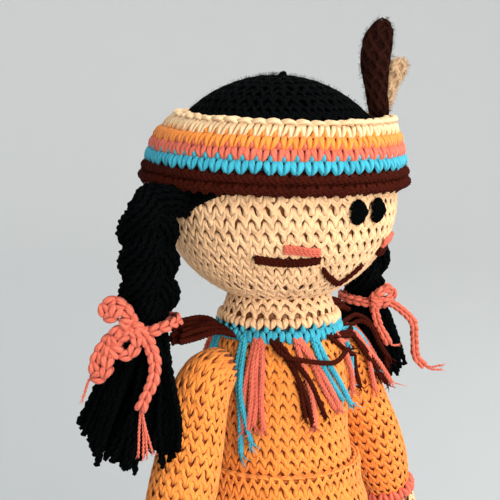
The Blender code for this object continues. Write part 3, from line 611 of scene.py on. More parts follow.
class Crochet:
    """Lays stitches, and cloth painted dark as the shade behind them, on lofts."""

    def __init__(self, materials: MaterialLibrary) -> None:
        self.materials = materials
        self.made = 0
        self.random = np.random.default_rng(SEED)
        self.stitch = hanging_stitch()
        self.heart = heart_stitch(knob=False)
        self.knobbed = heart_stitch(knob=True)

    def rows(
        self,
        parts: MeshParts,
        loft: Loft,
        low: float,
        high: float,
        keep: Callable[[np.ndarray], np.ndarray] | None = None,
        count: int | None = None,
        row: float = ROW,
        pitch: float = PITCH,
        stitch: Stitch | None = None,
        slant: float = 0.04,
        phase: float = 0.0,
        lift: float = 0.0,
        stretch: float = 1.0,
    ) -> None:
        """Lays rows of stitches between two lengths along a loft.

        Args:
            parts: Where the stitches go.
            loft: The surface.
            low: Where the first row starts.
            high: Where the last row ends.
            keep: Picks stitches by their places, or None for all.
            count: Stitches in a row, or None to fit the pitch.
            row: About how tall a row is.
            pitch: About how wide a stitch is.
            stitch: The stitch, or None for a single crochet.
            slant: How far each row is turned against the last, in stitches.
            phase: How far the first row is turned, in stitches.
            lift: How far the stitches stand off the surface.
            stretch: How far a stitch reaches past its row.
        """
        stitch = stitch or self.stitch
        rows = max(1, round((high - low) / row))
        tall = (high - low) / rows
        turn, arc, wide = [], [], []
        full = count or max(5, round(max(loft.girth(low + (i + 0.5) * tall) for i in range(rows)) / pitch))
        for i in range(rows):
            middle = low + (i + 0.5) * tall
            number = full
            while count is None and number > 6 and loft.girth(middle) / number < 0.64 * pitch:
                number = round(number * 2 / 3)
            turn.append((np.arange(number) + phase + slant * i + self.random.normal(0, 0.05, number)) / number)
            arc.append(np.full(number, middle) + self.random.normal(0, 0.04, number) * tall)
            wide.append(np.full(number, 1 / number))
        turn, arc, wide = (np.concatenate(x) for x in (turn, arc, wide))
        if keep is not None:
            chosen = keep(loft.point(turn, arc))
            turn, arc, wide = turn[chosen], arc[chosen], wide[chosen]
        number = len(turn)
        if not number:
            return
        s, t, h = stitch.verts.T
        size = self.random.normal(1, 0.04, (number, 1))
        tilt = self.random.normal(0, 0.05, (number, 1))
        turns = turn[:, None] + wide[:, None] * (s * size + t * tilt)
        arcs = arc[:, None] + tall * stretch * (t * size - s * tilt)
        points, normals = loft.frame(turns, arcs)
        points = points + normals * (h * size + lift)[..., None]
        size_of = len(stitch.verts)
        quads = stitch.quads[None] + (np.arange(number) * size_of)[:, None, None]
        # Each stitch's painted shade, made a little lighter or darker at random
        shade = stitch.lit_shares[None] + self.random.normal(0, 0.05, (number, 1))
        parts.add(
            points.reshape(-1, 3),
            quads.reshape(-1, 4),
            np.tile(stitch.coords, (number, 1, 1)),
            shade.ravel(),
        )

    def cloth(self, parts: MeshParts, loft: Loft, low: float, high: float, inset: float = COVER, around: int = 48, shade: float = 0.14) -> None:
        """Adds the closed cloth behind the stitches of a loft, set in a little and painted dark as the shade seen
        through the holes between stitches.
        """
        levels = max(4, round((high - low) / (2.5 * MM)))
        turns, arcs = np.meshgrid(np.arange(around) / around, np.linspace(low, high, levels))
        points, normals = loft.frame(turns, arcs)
        parts.rings(points - normals * inset, np.full(arcs.shape, shade), twist=0.02)

    def shaded_shell(self, loft: Loft, low: float, high: float, inset: float, thick: float, around: int = 64, shade: float = 0.15) -> MeshParts:
        """A closed sheet of cloth with an inside and an outside, painted dark as the shade behind stitches."""
        levels = max(4, round((high - low) / (3 * MM)))
        turns, arcs = np.meshgrid(np.arange(around) / around, np.linspace(low, high, levels))
        points, normals = loft.frame(turns, arcs)
        outside = points - normals * inset
        inside = points - normals * (inset + thick)
        rings = np.concatenate([inside[::-1], outside])
        grid = np.arange(rings.shape[0] * around).reshape(rings.shape[0], around)
        grid = np.concatenate([grid, grid[:1]])
        nexts = np.roll(grid, -1, axis=1)
        quads = np.stack([grid[:-1], nexts[:-1], nexts[1:], grid[1:]], axis=-1).reshape(-1, 4)
        parts = MeshParts()
        parts.add(rings.reshape(-1, 3), quads, np.zeros((len(quads), 4, 2)), shade)
        return parts

    def chain(self, parts: MeshParts, path: np.ndarray, normal: Sequence[float] | Callable[[np.ndarray], np.ndarray], link: float = 4.4 * MM, size: float = 1.0, faces: Sequence[float] = (1, -1)) -> None:
        """Adds a crocheted chain: a run of Vs, each coming out of the last, on one or both faces."""
        points = even(path, link)
        along = unit(np.gradient(points, axis=0))
        facing = normal(points) if callable(normal) else np.broadcast_to(normal, points.shape)
        side = unit(np.cross(along, facing))
        out = np.cross(side, along)
        core = even(path, link / 2)
        # A core cord painted partly in shade, showing between the Vs
        parts.tube(core, 1.25 * MM * size, 6, depth=0.35, twist=0.0045)
        stitch = self.heart
        s, t, h = stitch.verts.T
        for face in faces:
            grown = self.random.normal(1, 0.05, (len(points), 1))
            local = (
                points[:, None]
                + side[:, None] * (s * PITCH * 0.98 * grown * size)[..., None] * face
                + along[:, None] * (t * link * 1.3 * grown)[..., None]
                + out[:, None] * ((h + 2.1 * MM) * grown * size)[..., None] * face
            )
            quads = (stitch.quads[None] + (np.arange(len(points)) * len(stitch.verts))[:, None, None]).reshape(-1, 4)
            # Each link's painted shade, made a little lighter or darker at random
            shade = stitch.lit_shares[None] + self.random.normal(0, 0.06, (len(points), 1))
            parts.add(local.reshape(-1, 3), quads, np.tile(stitch.coords, (len(points), 1, 1)), shade.ravel())

    def strand(self, parts: MeshParts, path: np.ndarray, radius: float, plies: int = 3, turn: float = 5.0 * MM, step: float = 0.9 * MM, depth: float = 0.9, fray: int = 0) -> None:
        """Adds a length of yarn: plies wound round a path, with an end that comes apart."""
        points = even(path, step)
        side, other = carried_frames(points)
        marks = np.concatenate([[0], np.cumsum(np.linalg.norm(np.diff(points, axis=0), axis=1))])
        start = self.random.uniform(0, math.tau)
        for k in range(plies):
            angle = (start + math.tau * k / plies + marks / turn * math.tau)[:, None]
            wound = points + (np.cos(angle) * side + np.sin(angle) * other) * radius * 0.48
            # The plies are painted a little towards shade, their frayed tips less so
            parts.tube(wound, radius * 0.56, 5, depth, twist=0.002)
        for _ in range(fray):
            spread = unit(self.random.normal(0, 1, 3) * 0.45 + (points[-1] - points[-3]) / np.linalg.norm(points[-1] - points[-3]))
            reach = radius * self.random.uniform(1.6, 4.2)
            bend = self.random.normal(0, 0.25, 3) * reach
            tip = smooth([points[-2], points[-1] + spread * reach * 0.5, points[-1] + spread * reach + bend], 5)
            parts.tube(tip, radius * np.array([0.3, 0.26, 0.2, 0.14, 0.05]), 4, depth + 0.1)

    def fuzz(self, parts: MeshParts, loft: Loft, low: float, high: float, count: int, length: float, keep: Callable[[np.ndarray], np.ndarray] | None = None) -> None:
        """Adds loose fibres that stand off a loft."""
        turn = self.random.uniform(0, 1, count)
        arc = self.random.uniform(low, high, count)
        points, normals = loft.frame(turn, arc)
        if keep is not None:
            chosen = keep(points)
            points, normals = points[chosen], normals[chosen]
        sway = unit(np.cross(normals, self.random.normal(0, 1, points.shape)))
        reach = self.random.uniform(0.4, 1.0, (len(points), 1)) * length
        middle = points + normals * reach * 0.6 + sway * reach * 0.3
        tip = points + normals * reach * 0.7 + sway * reach * 0.9
        wide = np.cross(normals, sway) * 0.05 * MM
        ring = np.stack([points - wide, points + wide, middle + wide, middle - wide, tip], axis=1)
        base = (np.arange(len(points)) * 5)[:, None, None]
        quads = (np.array([[0, 1, 2, 3], [3, 2, 4, 4]])[None] + base).reshape(-1, 4)
        # Loose fibres are painted a little towards shade
        parts.add(ring.reshape(-1, 3), quads, np.zeros((len(quads), 4, 2)), 0.8)

    def finish(self, parts: MeshParts, name: str, yarn: Yarn, body: str | Crossing, nodes: Sequence[str] = (), fill: float | None = None) -> bpy.types.Object:
        """Makes a piece that rides on a body, or is left fixed in place where it spans two, and stands for CAD nodes.
        """
        obj = parts.make(name, self.materials.yarn(yarn))
        if isinstance(body, Crossing):
            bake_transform(obj)
        else:
            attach(obj, body)
        if nodes:
            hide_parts(*nodes)
        LOG.info("%s: %d faces", name, len(obj.data.polygons))
        self.made += 1
        self.random = np.random.default_rng(SEED + self.made)
        return obj


def torso_radius(height: float) -> float:
    """Radius of the dressed body at this height, collar and neck included."""
    heights = [TORSO_Z + up * TORSO_HEIGHT for _, up in TORSO_SHARES] + [COLLAR_TOP_Z, COLLAR_TOP_Z + 0.3 * MM, NECK_TOP_Z]
    radii = [share * CHEST_RADIUS for share, _ in TORSO_SHARES] + [COLLAR_RADIUS, NECK_BASE_RADIUS, NECK_RADIUS]
    return float(np.interp(height, heights, radii))


def on_head(azimuth: float, drop: float, lift: float = 0.0) -> np.ndarray:
    """Point on the head by azimuth from the front in degrees and drop below its widest level."""
    turn = math.radians(azimuth)
    tall = HEAD_DROP if drop > 0 else HEAD_RISE
    radius = HEAD_RADIUS * math.sqrt(max(0.0, 1 - (drop / tall) ** 2))
    outward = np.array([math.sin(turn), -math.cos(turn), 0.0])
    normal = unit(outward * radius / HEAD_RADIUS**2 + np.array([0, 0, -drop / tall**2]))
    return outward * radius + np.array([0, 0, HEAD_Z - drop]) + normal * lift


def on_body(azimuth: float, drop: float, lift: float) -> np.ndarray:
    """Point off the dressed body by azimuth from the front in degrees and drop below the collar's foot."""
    turn = math.radians(azimuth)
    height = COLLAR_Z - drop
    radius = torso_radius(height) + lift
    return np.array([math.sin(turn) * radius, -math.cos(turn) * radius, height])


@dataclass(frozen=True)
class Bow:
    """A tied cord: millimetre points (outward, forward, up) from the middle of the ring round the braid."""

    slope: float
    rise: float
    link: float
    size: float
    chains: tuple[tuple[tuple[float, float, float], ...], ...]
    strands: tuple[tuple[tuple[float, float, float], ...], ...]


BOWS = {
    "right": Bow(
        slope=2.6,
        rise=1.2,
        link=3.8,
        size=0.88,
        chains=(
            (
                (11.8, 5.7, 3.5), (12.6, 4.0, 7.5), (14.2, 1.6, 11.4), (16.8, -1.0, 13.0), (19.0, -2.8, 11.0), (18.4, -1.8, 8.2),
                (16.4, 0.8, 8.4), (16.4, 1.6, 10.8),
            ),
            (
                (11.8, 5.7, 3.5), (17.4, 0.8, 1.2), (21.2, -2.0, -4.0), (23.4, -3.2, -9.6), (23.4, -2.4, -14.2),
                (21.4, 0.4, -13.4), (21.0, 0.8, -9.0), (18.9, 0.8, -4.1), (15.6, 3.1, 0.5), (11.8, 5.7, 3.5),
            ),
            (
                (12.7, 6.8, 3.8), (17.2, 2.0, 2.4), (18.8, 1.2, -2.0), (16.5, 3.8, -6.3), (13.2, 6.6, -5.2), (11.9, 7.3, -0.2),
                (12.7, 6.8, 3.8),
            ),
            (
                (14.4, 5.2, 5.2), (11.8, 7.0, 3.5), (9.2, 9.4, -0.1), (8.3, 11.7, -5.2), (8.8, 14.1, -10.0), (11.1, 15.0, -16.3),
                (14.3, 14.8, -21.1), (15.8, 14.2, -24.7),
            ),
        ),
        strands=(
            ((15.5, 13.8, -23.9), (17.3, 14.7, -32.7), (18.8, 15.8, -41.7)),
            ((15.5, 13.8, -23.9), (16.0, 15.5, -33.0), (17.0, 16.4, -42.7)),
            ((15.9, 14.2, -23.9), (15.8, 16.2, -32.0), (15.2, 16.5, -42.7)),
            ((16.3, 14.2, -23.9), (15.0, 15.4, -32.0), (12.8, 16.6, -41.7)),
            ((24.4, -3.5, -13.7), (26.3, -4.1, -16.4), (28.2, -4.8, -22.3)),
        ),
    ),
    "left": Bow(
        slope=-1.6,
        rise=-1.2,
        link=3.3,
        size=0.7,
        chains=(
            (
                (-4.6, 11.0, -1.0), (-5.2, 10.9, 2.4), (-3.0, 12.8, 4.0), (2.9, 12.4, 4.4), (4.4, 13.2, 1.6), (1.8, 12.8, 0.2),
                (-1.6, 13.0, -1.2), (-4.8, 11.5, -1.0),
            ),
            ((-4.6, 11.2, 1.6), (-4.9, 10.5, -3.0), (-4.0, 11.8, -10.0), (-3.0, 14.2, -14.7), (-1.3, 15.7, -18.8)),
            (
                (-4.8, 11.0, 0.5), (2.6, 13.2, -1.6), (7.7, 17.5, -6.2), (11.4, 20.0, -11.6), (12.9, 19.6, -19.9),
                (15.3, 19.0, -27.9), (17.8, 20.8, -31.6),
            ),
        ),
        strands=(
            ((-1.3, 15.7, -18.4), (1.0, 16.6, -20.6), (4.0, 17.6, -20.8)),
            ((17.4, 20.5, -31.2), (19.6, 24.0, -32.6), (22.6, 27.9, -31.6)),
            ((17.4, 20.5, -31.2), (19.8, 23.4, -33.6), (23.6, 26.4, -34.2)),
        ),
    ),
}


class Doll:
    """Makes every piece of the doll."""

    def __init__(self, crochet: Crochet) -> None:
        self.crochet = crochet

    def head(self) -> None:
        """Face and back of the head, and its stitches up to the band."""
        profile = [(r, z + HEAD_Z) for r, z in ellipse_arc(HEAD_RADIUS, HEAD_RISE, HEAD_DROP, -88, 89, 30)]
        loft = turned(profile)
        parts = MeshParts()
        self.crochet.cloth(parts, loft, 1 * MM, loft.length - 1 * MM)
        low = float(np.interp(HEAD_Z - 41 * MM, loft.rings[:, 0, 2], loft.marks))
        high = float(np.interp(HEAD_Z + 15 * MM, loft.rings[:, 0, 2], loft.marks))
        self.crochet.rows(parts, loft, low, high)
        self.crochet.fuzz(parts, loft, low, high, 1500, 1.6 * MM)
        self.crochet.finish(parts, "head_crochet", Yarn.SKIN, "head", ["head_skin", "head_stuffing"], fill=0.95)

    def hair_cap(self) -> None:
        """Hair on the crown and the back of the head."""
        slope = (HAIR_FRONT_EDGE - HAIR_BACK_EDGE) / (2 * HAIR_RADIUS)

        def above_rim(points: np.ndarray) -> np.ndarray:
            rim = HEAD_Z + HAIR_FRONT_EDGE - slope * (points[:, 1] + HAIR_RADIUS)
            return points[:, 2] > rim + 2 * MM

        sides = 48
        rings = []
        for share in np.linspace(0, 1, 22):
            ring = []
            for i in range(sides):
                turn = math.tau * i / sides
                height = HAIR_FRONT_EDGE
                for _ in range(12):
                    radius = HAIR_RADIUS * math.sqrt(1 - (height / HAIR_RISE) ** 2)
                    y = HAIR_BACK + radius * math.sin(turn)
                    height = HAIR_FRONT_EDGE - slope * (y + HAIR_RADIUS)
                latitude = math.asin(height / HAIR_RISE)
                latitude += share * (math.radians(89.5) - latitude)
                radius = HAIR_RADIUS * math.cos(latitude)
                ring.append((radius * math.cos(turn), HAIR_BACK + radius * math.sin(turn), HEAD_Z + HAIR_RISE * math.sin(latitude)))
            rings.append(ring)
        rim_loft = Loft(rings)
        # The rim's sheet is painted dark as shade
        parts = self.crochet.shaded_shell(rim_loft, 0, rim_loft.length, 1.3 * MM, 1.4 * MM)
        level = turned([(r, z + HEAD_Z, HAIR_BACK) for r, z in ellipse_arc(HAIR_RADIUS, HAIR_RISE, HAIR_RISE, -14, 89, 26)])
        self.crochet.rows(parts, level, 2 * MM, level.length - 3 * MM, keep=above_rim)
        self.crochet.fuzz(parts, level, 0, level.length, 2600, 2.4 * MM, keep=above_rim)
        parts.tube(smooth([(0, 0, HEAD_Z + 48 * MM), (1 * MM, -1 * MM, HEAD_Z + 50.5 * MM), (2.5 * MM, 0, HEAD_Z + 49 * MM)], 6), 1.4 * MM)
        self.crochet.finish(parts, "hair_cap_crochet", Yarn.BLACK, "head", ["hair_cap"])

    def side_hair(self) -> None:
        """Hair that runs from under the band to each braid."""
        for name, side in SIDES:
            parts = MeshParts()
            root = np.array([side * 51.5 * MM, BRAID_Y, BAND_Z - 8.0 * MM])
            for k, azimuth in enumerate(np.linspace(62, 128, 17)):
                drop = -9.5 * MM if azimuth < 100 else -7 * MM
                start = on_head(side * azimuth, drop, 1.6 * MM)
                middle = on_head(side * (azimuth * 0.45 + 99 * 0.55), -2.5 * MM, 1.7 * MM)
                end = root + np.array([0, (k - 8) * 0.8 * MM, -abs(k - 8) * 0.3 * MM])
                self.crochet.strand(parts, smooth([start, middle, end], 14), 1.35 * MM, plies=2, step=2 * MM)
            self.crochet.finish(parts, f"{name}_side_hair", Yarn.BLACK, "head")

    def band_loft(self, low: float, high: float, bulge: float) -> Loft:
        """Surface of one row of the headband."""
        profile = []
        tilt = np.array(Matrix.Rotation(BAND_TILT, 3, "X"))
        for share, out in ((0.0, 0.0), (0.25, 0.8), (0.5, 1.0), (0.75, 0.8), (1.0, 0.0)):
            height = low + share * (high - low)
            place = height / BAND_HEIGHT
            lean = max(0.0, (place - 0.6) / 0.4) ** 1.5
            radius = BAND_BOTTOM_RADIUS + place * (BAND_TOP_RADIUS - BAND_BOTTOM_RADIUS) + out * bulge - lean * BAND_LEAN
            back = BAND_SHIFTS[0] + place * (BAND_SHIFTS[1] - BAND_SHIFTS[0]) - lean * BAND_LEAN_BACK
            ring = circle((0, back, height), (radius, 0, 0), (0, radius, 0), 40)
            profile.append(ring @ tilt.T + np.array([0, 0, BAND_Z]))
        return Loft(profile)

    def band(self) -> None:
        """The headband: its cloth painted dark as shade, five rows of stitches and the chain along its top."""
        rows = (
            (Yarn.BROWN, 8.0 * MM, 0.2 * MM, "band_brown"),
            (Yarn.TURQUOISE, 4.5 * MM, 0.0, "band_turquoise"),
            (Yarn.CORAL, 4.3 * MM, 0.0, "band_coral"),
            (Yarn.ORANGE, 4.3 * MM, 0.0, "band_orange"),
            (Yarn.CREAM, 4.7 * MM, 0.0, "band_cream"),
        )
        whole = self.band_loft(0.6 * MM, BAND_HEIGHT - 0.6 * MM, 0)
        # A sheet inside the band, painted dark brown as the shade seen between its stitches
        sheet = self.crochet.shaded_shell(whole, 0, whole.length, 1.4 * MM, 1.2 * MM, around=96).make("band_cloth", self.crochet.materials.yarn(Yarn.BROWN))
        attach(sheet, "head")
        low = 0.0
        phase = 0.0
        for yarn, height, bulge, node in rows:
            loft = self.band_loft(low, low + height, bulge)
            felted = yarn is Yarn.BROWN
            # Painted shade of each row's backing sheet: lighter behind the felted brown row, dark behind the others
            inset, shade = (0.3 * MM, 0.6) if felted else (1.2 * MM, 0.25)
            parts = self.crochet.shaded_shell(loft, 0.4 * MM, loft.length - 0.4 * MM, inset, 0.8 * MM, around=96, shade=shade)
            count = 64
            if felted:
                half = loft.length / 2
                for i in (0, 1):
                    self.crochet.rows(
                        parts, loft, i * half, (i + 1) * half, count=count, row=half, stitch=self.crochet.heart,
                        phase=0.5 * i, stretch=1.15, lift=0.1 * MM,
                    )
                for level in (0.8 * MM, half + 0.6 * MM):
                    edge, normals = loft.frame(np.linspace(0, 1, 190), np.full(190, level))
                    # The edge cords are painted partly in shade
                    self.crochet.strand(parts, edge + normals * 0.2 * MM, 1.7 * MM, turn=7 * MM, step=1.6 * MM, depth=0.75)
                self.crochet.fuzz(parts, loft, 0, loft.length, 4200, 2.4 * MM)
            else:
                phase += 0.5
                self.crochet.rows(
                    parts, loft, 0.4 * MM, loft.length + 0.4 * MM, count=count, row=height, phase=phase, stretch=1.22, lift=0.75 * MM,
                    stitch=self.crochet.heart if yarn is Yarn.CREAM else self.crochet.knobbed,
                )
                self.crochet.fuzz(parts, loft, 0, loft.length, 500, 1.3 * MM)
            if yarn is Yarn.CREAM:
                turns = np.linspace(0, 1, 190)
                edge, normals = loft.frame(turns, np.full(190, loft.length))
                path = edge + normals * 0.1 * MM + np.array([0, 0, -2.9 * MM])
                self.crochet.chain(parts, path, (0, 0, 1), link=5.4 * MM, size=1.2, faces=(1,))
            self.crochet.finish(parts, f"{node}_crochet", yarn, "head", [node])
            low += height

    def feather(self, name: str, yarn: Yarn, azimuth: float, radius: float, stations: Sequence[Sequence[float]]) -> None:
        """A crocheted feather that stands on edge, its root tucked between the band and the hair."""
        turn = math.radians(azimuth)
        outward = np.array([math.sin(turn), -math.cos(turn), 0.0])
        across = np.array([math.cos(turn), math.sin(turn), 0.0])
        rings = []
        for height, wide, thick, out in stations:
            centre = outward * (radius + out * MM) + np.array([0, 0, HEAD_Z + height * MM])
            rings.append(circle(centre, outward * wide / 2 * MM, across * thick / 2 * MM))
        loft = Loft(rings)
        parts = MeshParts()
        # The feather's backing is painted only a little shaded
        self.crochet.cloth(parts, loft, 0.5 * MM, loft.length - 0.5 * MM, inset=0.45 * MM, around=20, shade=0.7)
        self.crochet.rows(parts, loft, 1 * MM, loft.length - 0.5 * MM, row=3.8 * MM, pitch=3.8 * MM, slant=0.3, lift=0.1 * MM)
        self.crochet.fuzz(parts, loft, 0, loft.length, 1600, 2.4 * MM)
        self.crochet.finish(parts, f"feather_{name}_crochet", yarn, "head", [f"feather_{name}"])

    def feathers(self) -> None:
        """The brown feather and the cream one outside it."""
        brown = (
            (29.5, 1.6, 3.0, 0), (32.9, 2.4, 3.6, -0.3), (34.7, 7.6, 3.9, -1.4), (45, 9.0, 4.2, -2.7), (53.6, 11.4, 4.2, -3.3),
            (63.9, 11.8, 4.2, -2.4), (69.4, 8.2, 3.6, -0.9), (72.3, 2.6, 1.8, -0.6),
        )
        cream = (
            (29.5, 1.2, 2.0, 0), (33.2, 3.2, 2.5, 0.4), (38.1, 6.2, 2.9, 2.2), (45.2, 6.8, 3.0, 4.6), (51.6, 8.4, 3.0, 7.4),
            (55.2, 6.6, 2.6, 8.4), (56.7, 2.6, 1.6, 8.6),
        )
        self.feather("brown", Yarn.QUILL, 46, 41.9 * MM, brown)
        self.feather("cream", Yarn.DOWN, 56, 41.6 * MM, cream)

    def face(self) -> None:
        """Eyes in satin stitch, the mouth and the bars on the cheeks."""
        for name, side in SIDES:
            parts = MeshParts()
            for share in np.linspace(-0.93, 0.93, 9):
                tall = 4.35 * MM * math.sqrt(1 - share**2) + 0.3 * MM
                azimuth = side * 6.5 - 1.2 + math.degrees(share * 3.7 * MM / HEAD_RADIUS)
                lifts = (0.5 * MM, 1.4 * MM, 1.7 * MM, 1.4 * MM, 0.5 * MM)
                path = [on_head(azimuth, 1.3 * MM + k * tall, lift + 0.4 * MM) for k, lift in zip((-1, -0.6, 0, 0.6, 1), lifts)]
                self.crochet.strand(parts, smooth(path, 16), 0.62 * MM, plies=2, step=0.7 * MM)
            self.crochet.finish(parts, f"{name}_eye_stitches", Yarn.BLACK, "head", [f"{name}_eye"])
            for colour, yarn, rows, places in (
                ("coral", Yarn.CORAL, (-1.0, 0.0, 1.0), ((25.3, 15.9), (30, 15.5), (36, 14.9), (43, 14.3))),
                ("brown", Yarn.BROWN, (-0.9, 0.1, 1.0), ((24.3, 18.8), (30, 19.5), (36, 19.8), (46, 19.4), (57, 18.2))),
            ):
                parts = MeshParts()
                turn = -5.0 if side > 0 else 0.0
                for row in rows:
                    path = [on_head(side * a + turn, (d + row) * MM, 0.8 * MM + self.crochet.random.uniform(0, 0.3) * MM) for a, d in places]
                    self.crochet.strand(parts, smooth(path, 30), 0.95 * MM, plies=2, turn=3.5 * MM)
                self.crochet.finish(parts, f"{name}_cheek_{colour}_stitches", yarn, "head", [f"{name}_cheek_{colour}"])
        parts = MeshParts()
        places = ((-21.1, 23.0), (-15.5, 26.4), (-9.5, 28.6), (-4.5, 30.1), (-0.5, 30.3), (3.7, 27.0), (7.4, 23.4))
        for shift in (-0.5, 0.5):
            path = [on_head(a, (d + shift) * MM, 1.0 * MM) for a, d in places]
            self.crochet.strand(parts, smooth(path, 40), 0.95 * MM, plies=2)
        self.crochet.finish(parts, "mouth_stitches", Yarn.BROWN, "head", ["mouth"])

    def neck(self) -> None:
        """Neck and the turquoise row at its foot."""
        loft = turned([(torso_radius(z), z) for z in np.linspace(COLLAR_TOP_Z + 0.4 * MM, NECK_TOP_Z, 6)])
        parts = MeshParts()
        self.crochet.cloth(parts, loft, 0, loft.length)
        self.crochet.rows(parts, loft, 4.2 * MM, loft.length - 1.0 * MM, row=4.0 * MM)
        self.crochet.rows(parts, loft, 0.6 * MM, 5.2 * MM, row=4.6 * MM, stitch=self.crochet.heart, lift=0.6 * MM, count=30)
        self.crochet.finish(parts, "neck_crochet", Yarn.SKIN, "body", ["neck"], fill=0.9)
        loft = turned([(COLLAR_RADIUS - 0.5 * MM, COLLAR_Z), (COLLAR_RADIUS, COLLAR_Z + 2.2 * MM), (COLLAR_RADIUS - 0.6 * MM, COLLAR_TOP_Z)])
        parts = MeshParts()
        self.crochet.cloth(parts, loft, 0, loft.length, inset=1.2 * MM)
        self.crochet.rows(parts, loft, 0, loft.length, row=loft.length, stitch=self.crochet.knobbed, stretch=1.2, lift=0.5 * MM, count=32)
        self.crochet.finish(parts, "collar_crochet", Yarn.TURQUOISE, "body", ["collar"])

    def dress(self) -> None:
        """Body of the dress and its skirt."""
        loft = turned([(share * CHEST_RADIUS, TORSO_Z + up * TORSO_HEIGHT) for share, up in TORSO_SHARES])
        parts = MeshParts()
        self.crochet.cloth(parts, loft, 0, loft.length)
        low = float(np.interp(SKIRT_TOP_Z - 4 * MM, loft.rings[:, 0, 2], loft.marks))
        self.crochet.rows(parts, loft, 0, low - 12 * MM)
        self.crochet.rows(parts, loft, low, loft.length, row=4.6 * MM, pitch=4.5 * MM)
        self.crochet.fuzz(parts, loft, low, loft.length, 900, 1.6 * MM)
        self.crochet.finish(parts, "dress_crochet", Yarn.ORANGE, "body", ["dress_body", "body_stuffing"], fill=0.9)

        heights = np.linspace(HEM_Z, SKIRT_TOP_Z, len(SKIRT_RADII))
        loft = turned([(radius * MM, height) for radius, height in zip(SKIRT_RADII, heights)], 40)
        # A sheet inside the skirt, painted dark orange as the shade seen between its stitches
        sheet = self.crochet.shaded_shell(loft, 0, loft.length, 1.4 * MM, 1.2 * MM, around=80).make("skirt_cloth", self.crochet.materials.yarn(Yarn.ORANGE))
        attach(sheet, "body")
        parts = MeshParts()
        self.crochet.rows(parts, loft, 0, loft.length, row=4.6 * MM, pitch=4.7 * MM)
        edge, _ = loft.frame(np.linspace(0, 1, 160), np.full(160, loft.length))
        self.crochet.chain(parts, edge * np.array([0.955, 0.955, 1]), (0, 0, 1), link=4.6 * MM, size=0.62, faces=(1,))
        hem, _ = loft.frame(np.linspace(0, 1, 160), np.zeros(160))
        self.crochet.chain(parts, hem * np.array([0.965, 0.965, 1]) + np.array([0, 0, 1.5 * MM]), (0, 0, -1), link=5.0 * MM, faces=(1,))
        stitches = self.crochet.finish(parts, "skirt_crochet", Yarn.ORANGE, "body", ["skirt"])

    def arm(self, name: str, side: int) -> None:
        """Sleeve, cuff and hand."""
        shares = (
            (0.0, 0.0, 0.0, 8.0), (4.4, 0.1, 0.3, 9.6), (9.4, 0.3, 2.5, 10.8), (13.9, 0.7, 8.0, 11.6), (17.2, 1.4, 17.0, 12.1),
            (20.9, 2.7, 28.0, 12.7), (26.9, 4.6, 43.0, 13.3), (32.4, 6.0, 57.0, 12.6), (37.4, 7.0, 70.0, 10.0),
        )
        stations = [
            ((side * (SHOULDER.x + out * MM), SHOULDER.y - forward * MM, SHOULDER.z - down * MM), radius * MM)
            for out, forward, down, radius in shares
        ]
        body = f"{name}_arm"
        loft = along_spine(stations, start=(side, 0, 0))
        parts = MeshParts()
        self.crochet.cloth(parts, loft, 0, loft.length, around=28)
        self.crochet.rows(parts, loft, 2.4 * MM, loft.length, row=4.5 * MM, pitch=4.4 * MM)
        self.crochet.fuzz(parts, loft, 0, loft.length, 700, 1.1 * MM)
        self.crochet.finish(parts, f"{name}_sleeve_crochet", Yarn.ORANGE, body, [f"{name}_sleeve", f"{name}_arm_stuffing"], fill=0.9)

        wrist = np.array(stations[-1][0])
        along = unit(wrist - np.array(stations[-2][0]))
        start = wrist + along * 0.3 * MM
        loft = along_spine([(start, 10.4 * MM), (start + along * 2.5 * MM, 10.9 * MM), (start + along * 5 * MM, 10.4 * MM)])
        parts = MeshParts()
        self.crochet.cloth(parts, loft, 0, loft.length, inset=1.2 * MM, around=28)
        self.crochet.rows(parts, loft, 0, loft.length, row=5 * MM, stitch=self.crochet.heart, stretch=1.15, lift=0.4 * MM)
        self.crochet.finish(parts, f"{name}_cuff_crochet", Yarn.CORAL, body, [f"{name}_cuff"])

        start = start + along * 5.3 * MM
        stations = [(start + along * 17 * MM * out, 9.7 * MM * size) for out, size in ((0, 1), (0.35, 1.02), (0.68, 0.92), (0.9, 0.62), (1, 0.2))]
        loft = along_spine(stations)
        parts = MeshParts()
        self.crochet.cloth(parts, loft, 0, loft.length, around=24)
        self.crochet.rows(parts, loft, 0.4 * MM, loft.length - 1 * MM)
        self.crochet.finish(parts, f"{name}_hand_crochet", Yarn.SKIN, body, [f"{name}_hand"], fill=0.9)

    def leg(self, name: str, side: int) -> None:
        """Leg and boot."""
        body = f"{name}_leg"
        place = np.array([side * HIP.x, 0, 0])
        profile = [(13.0, 34.3), (13.2, 49.2), (14.0, 65.1), (14.8, 78.0), (15.0, 84.0), (14.0, 89.4), (11.2, 94.0), (7.0, 97.3), (1.5, 98.9)]
        loft = Loft(turned([(radius * MM, height * MM) for radius, height in profile], 24).rings + place)
        parts = MeshParts()
        self.crochet.cloth(parts, loft, 0, loft.length, around=32)
        self.crochet.rows(parts, loft, 0.3 * MM, loft.length - 1 * MM)
        self.crochet.finish(parts, f"{name}_leg_crochet", Yarn.SKIN, body, [f"{name}_leg", f"{name}_leg_stuffing"], fill=0.9)

        shares = (
            (0.0, -6.0, 8.0, 5.0), (0.05, -6.0, 20.6, 12.9), (0.9, -6.0, 22.6, 14.8), (4.0, -6.2, 23.9, 15.7), (8.2, -6.5, 24.5, 16.0),
            (14.3, -5.5, 23.5, 15.8), (20.4, -3.0, 20.0, 15.3), (26.5, -0.8, 16.0, 14.6), (30.3, 0.0, 14.4, 14.2), (34.0, 0.0, 14.0, 14.0),
        )
        rings = [circle(place + np.array([0, y, z]) * MM, (wide * MM, 0, 0), (0, long * MM, 0), 28) for z, y, long, wide in shares]
        loft = Loft(rings)
        parts = MeshParts()
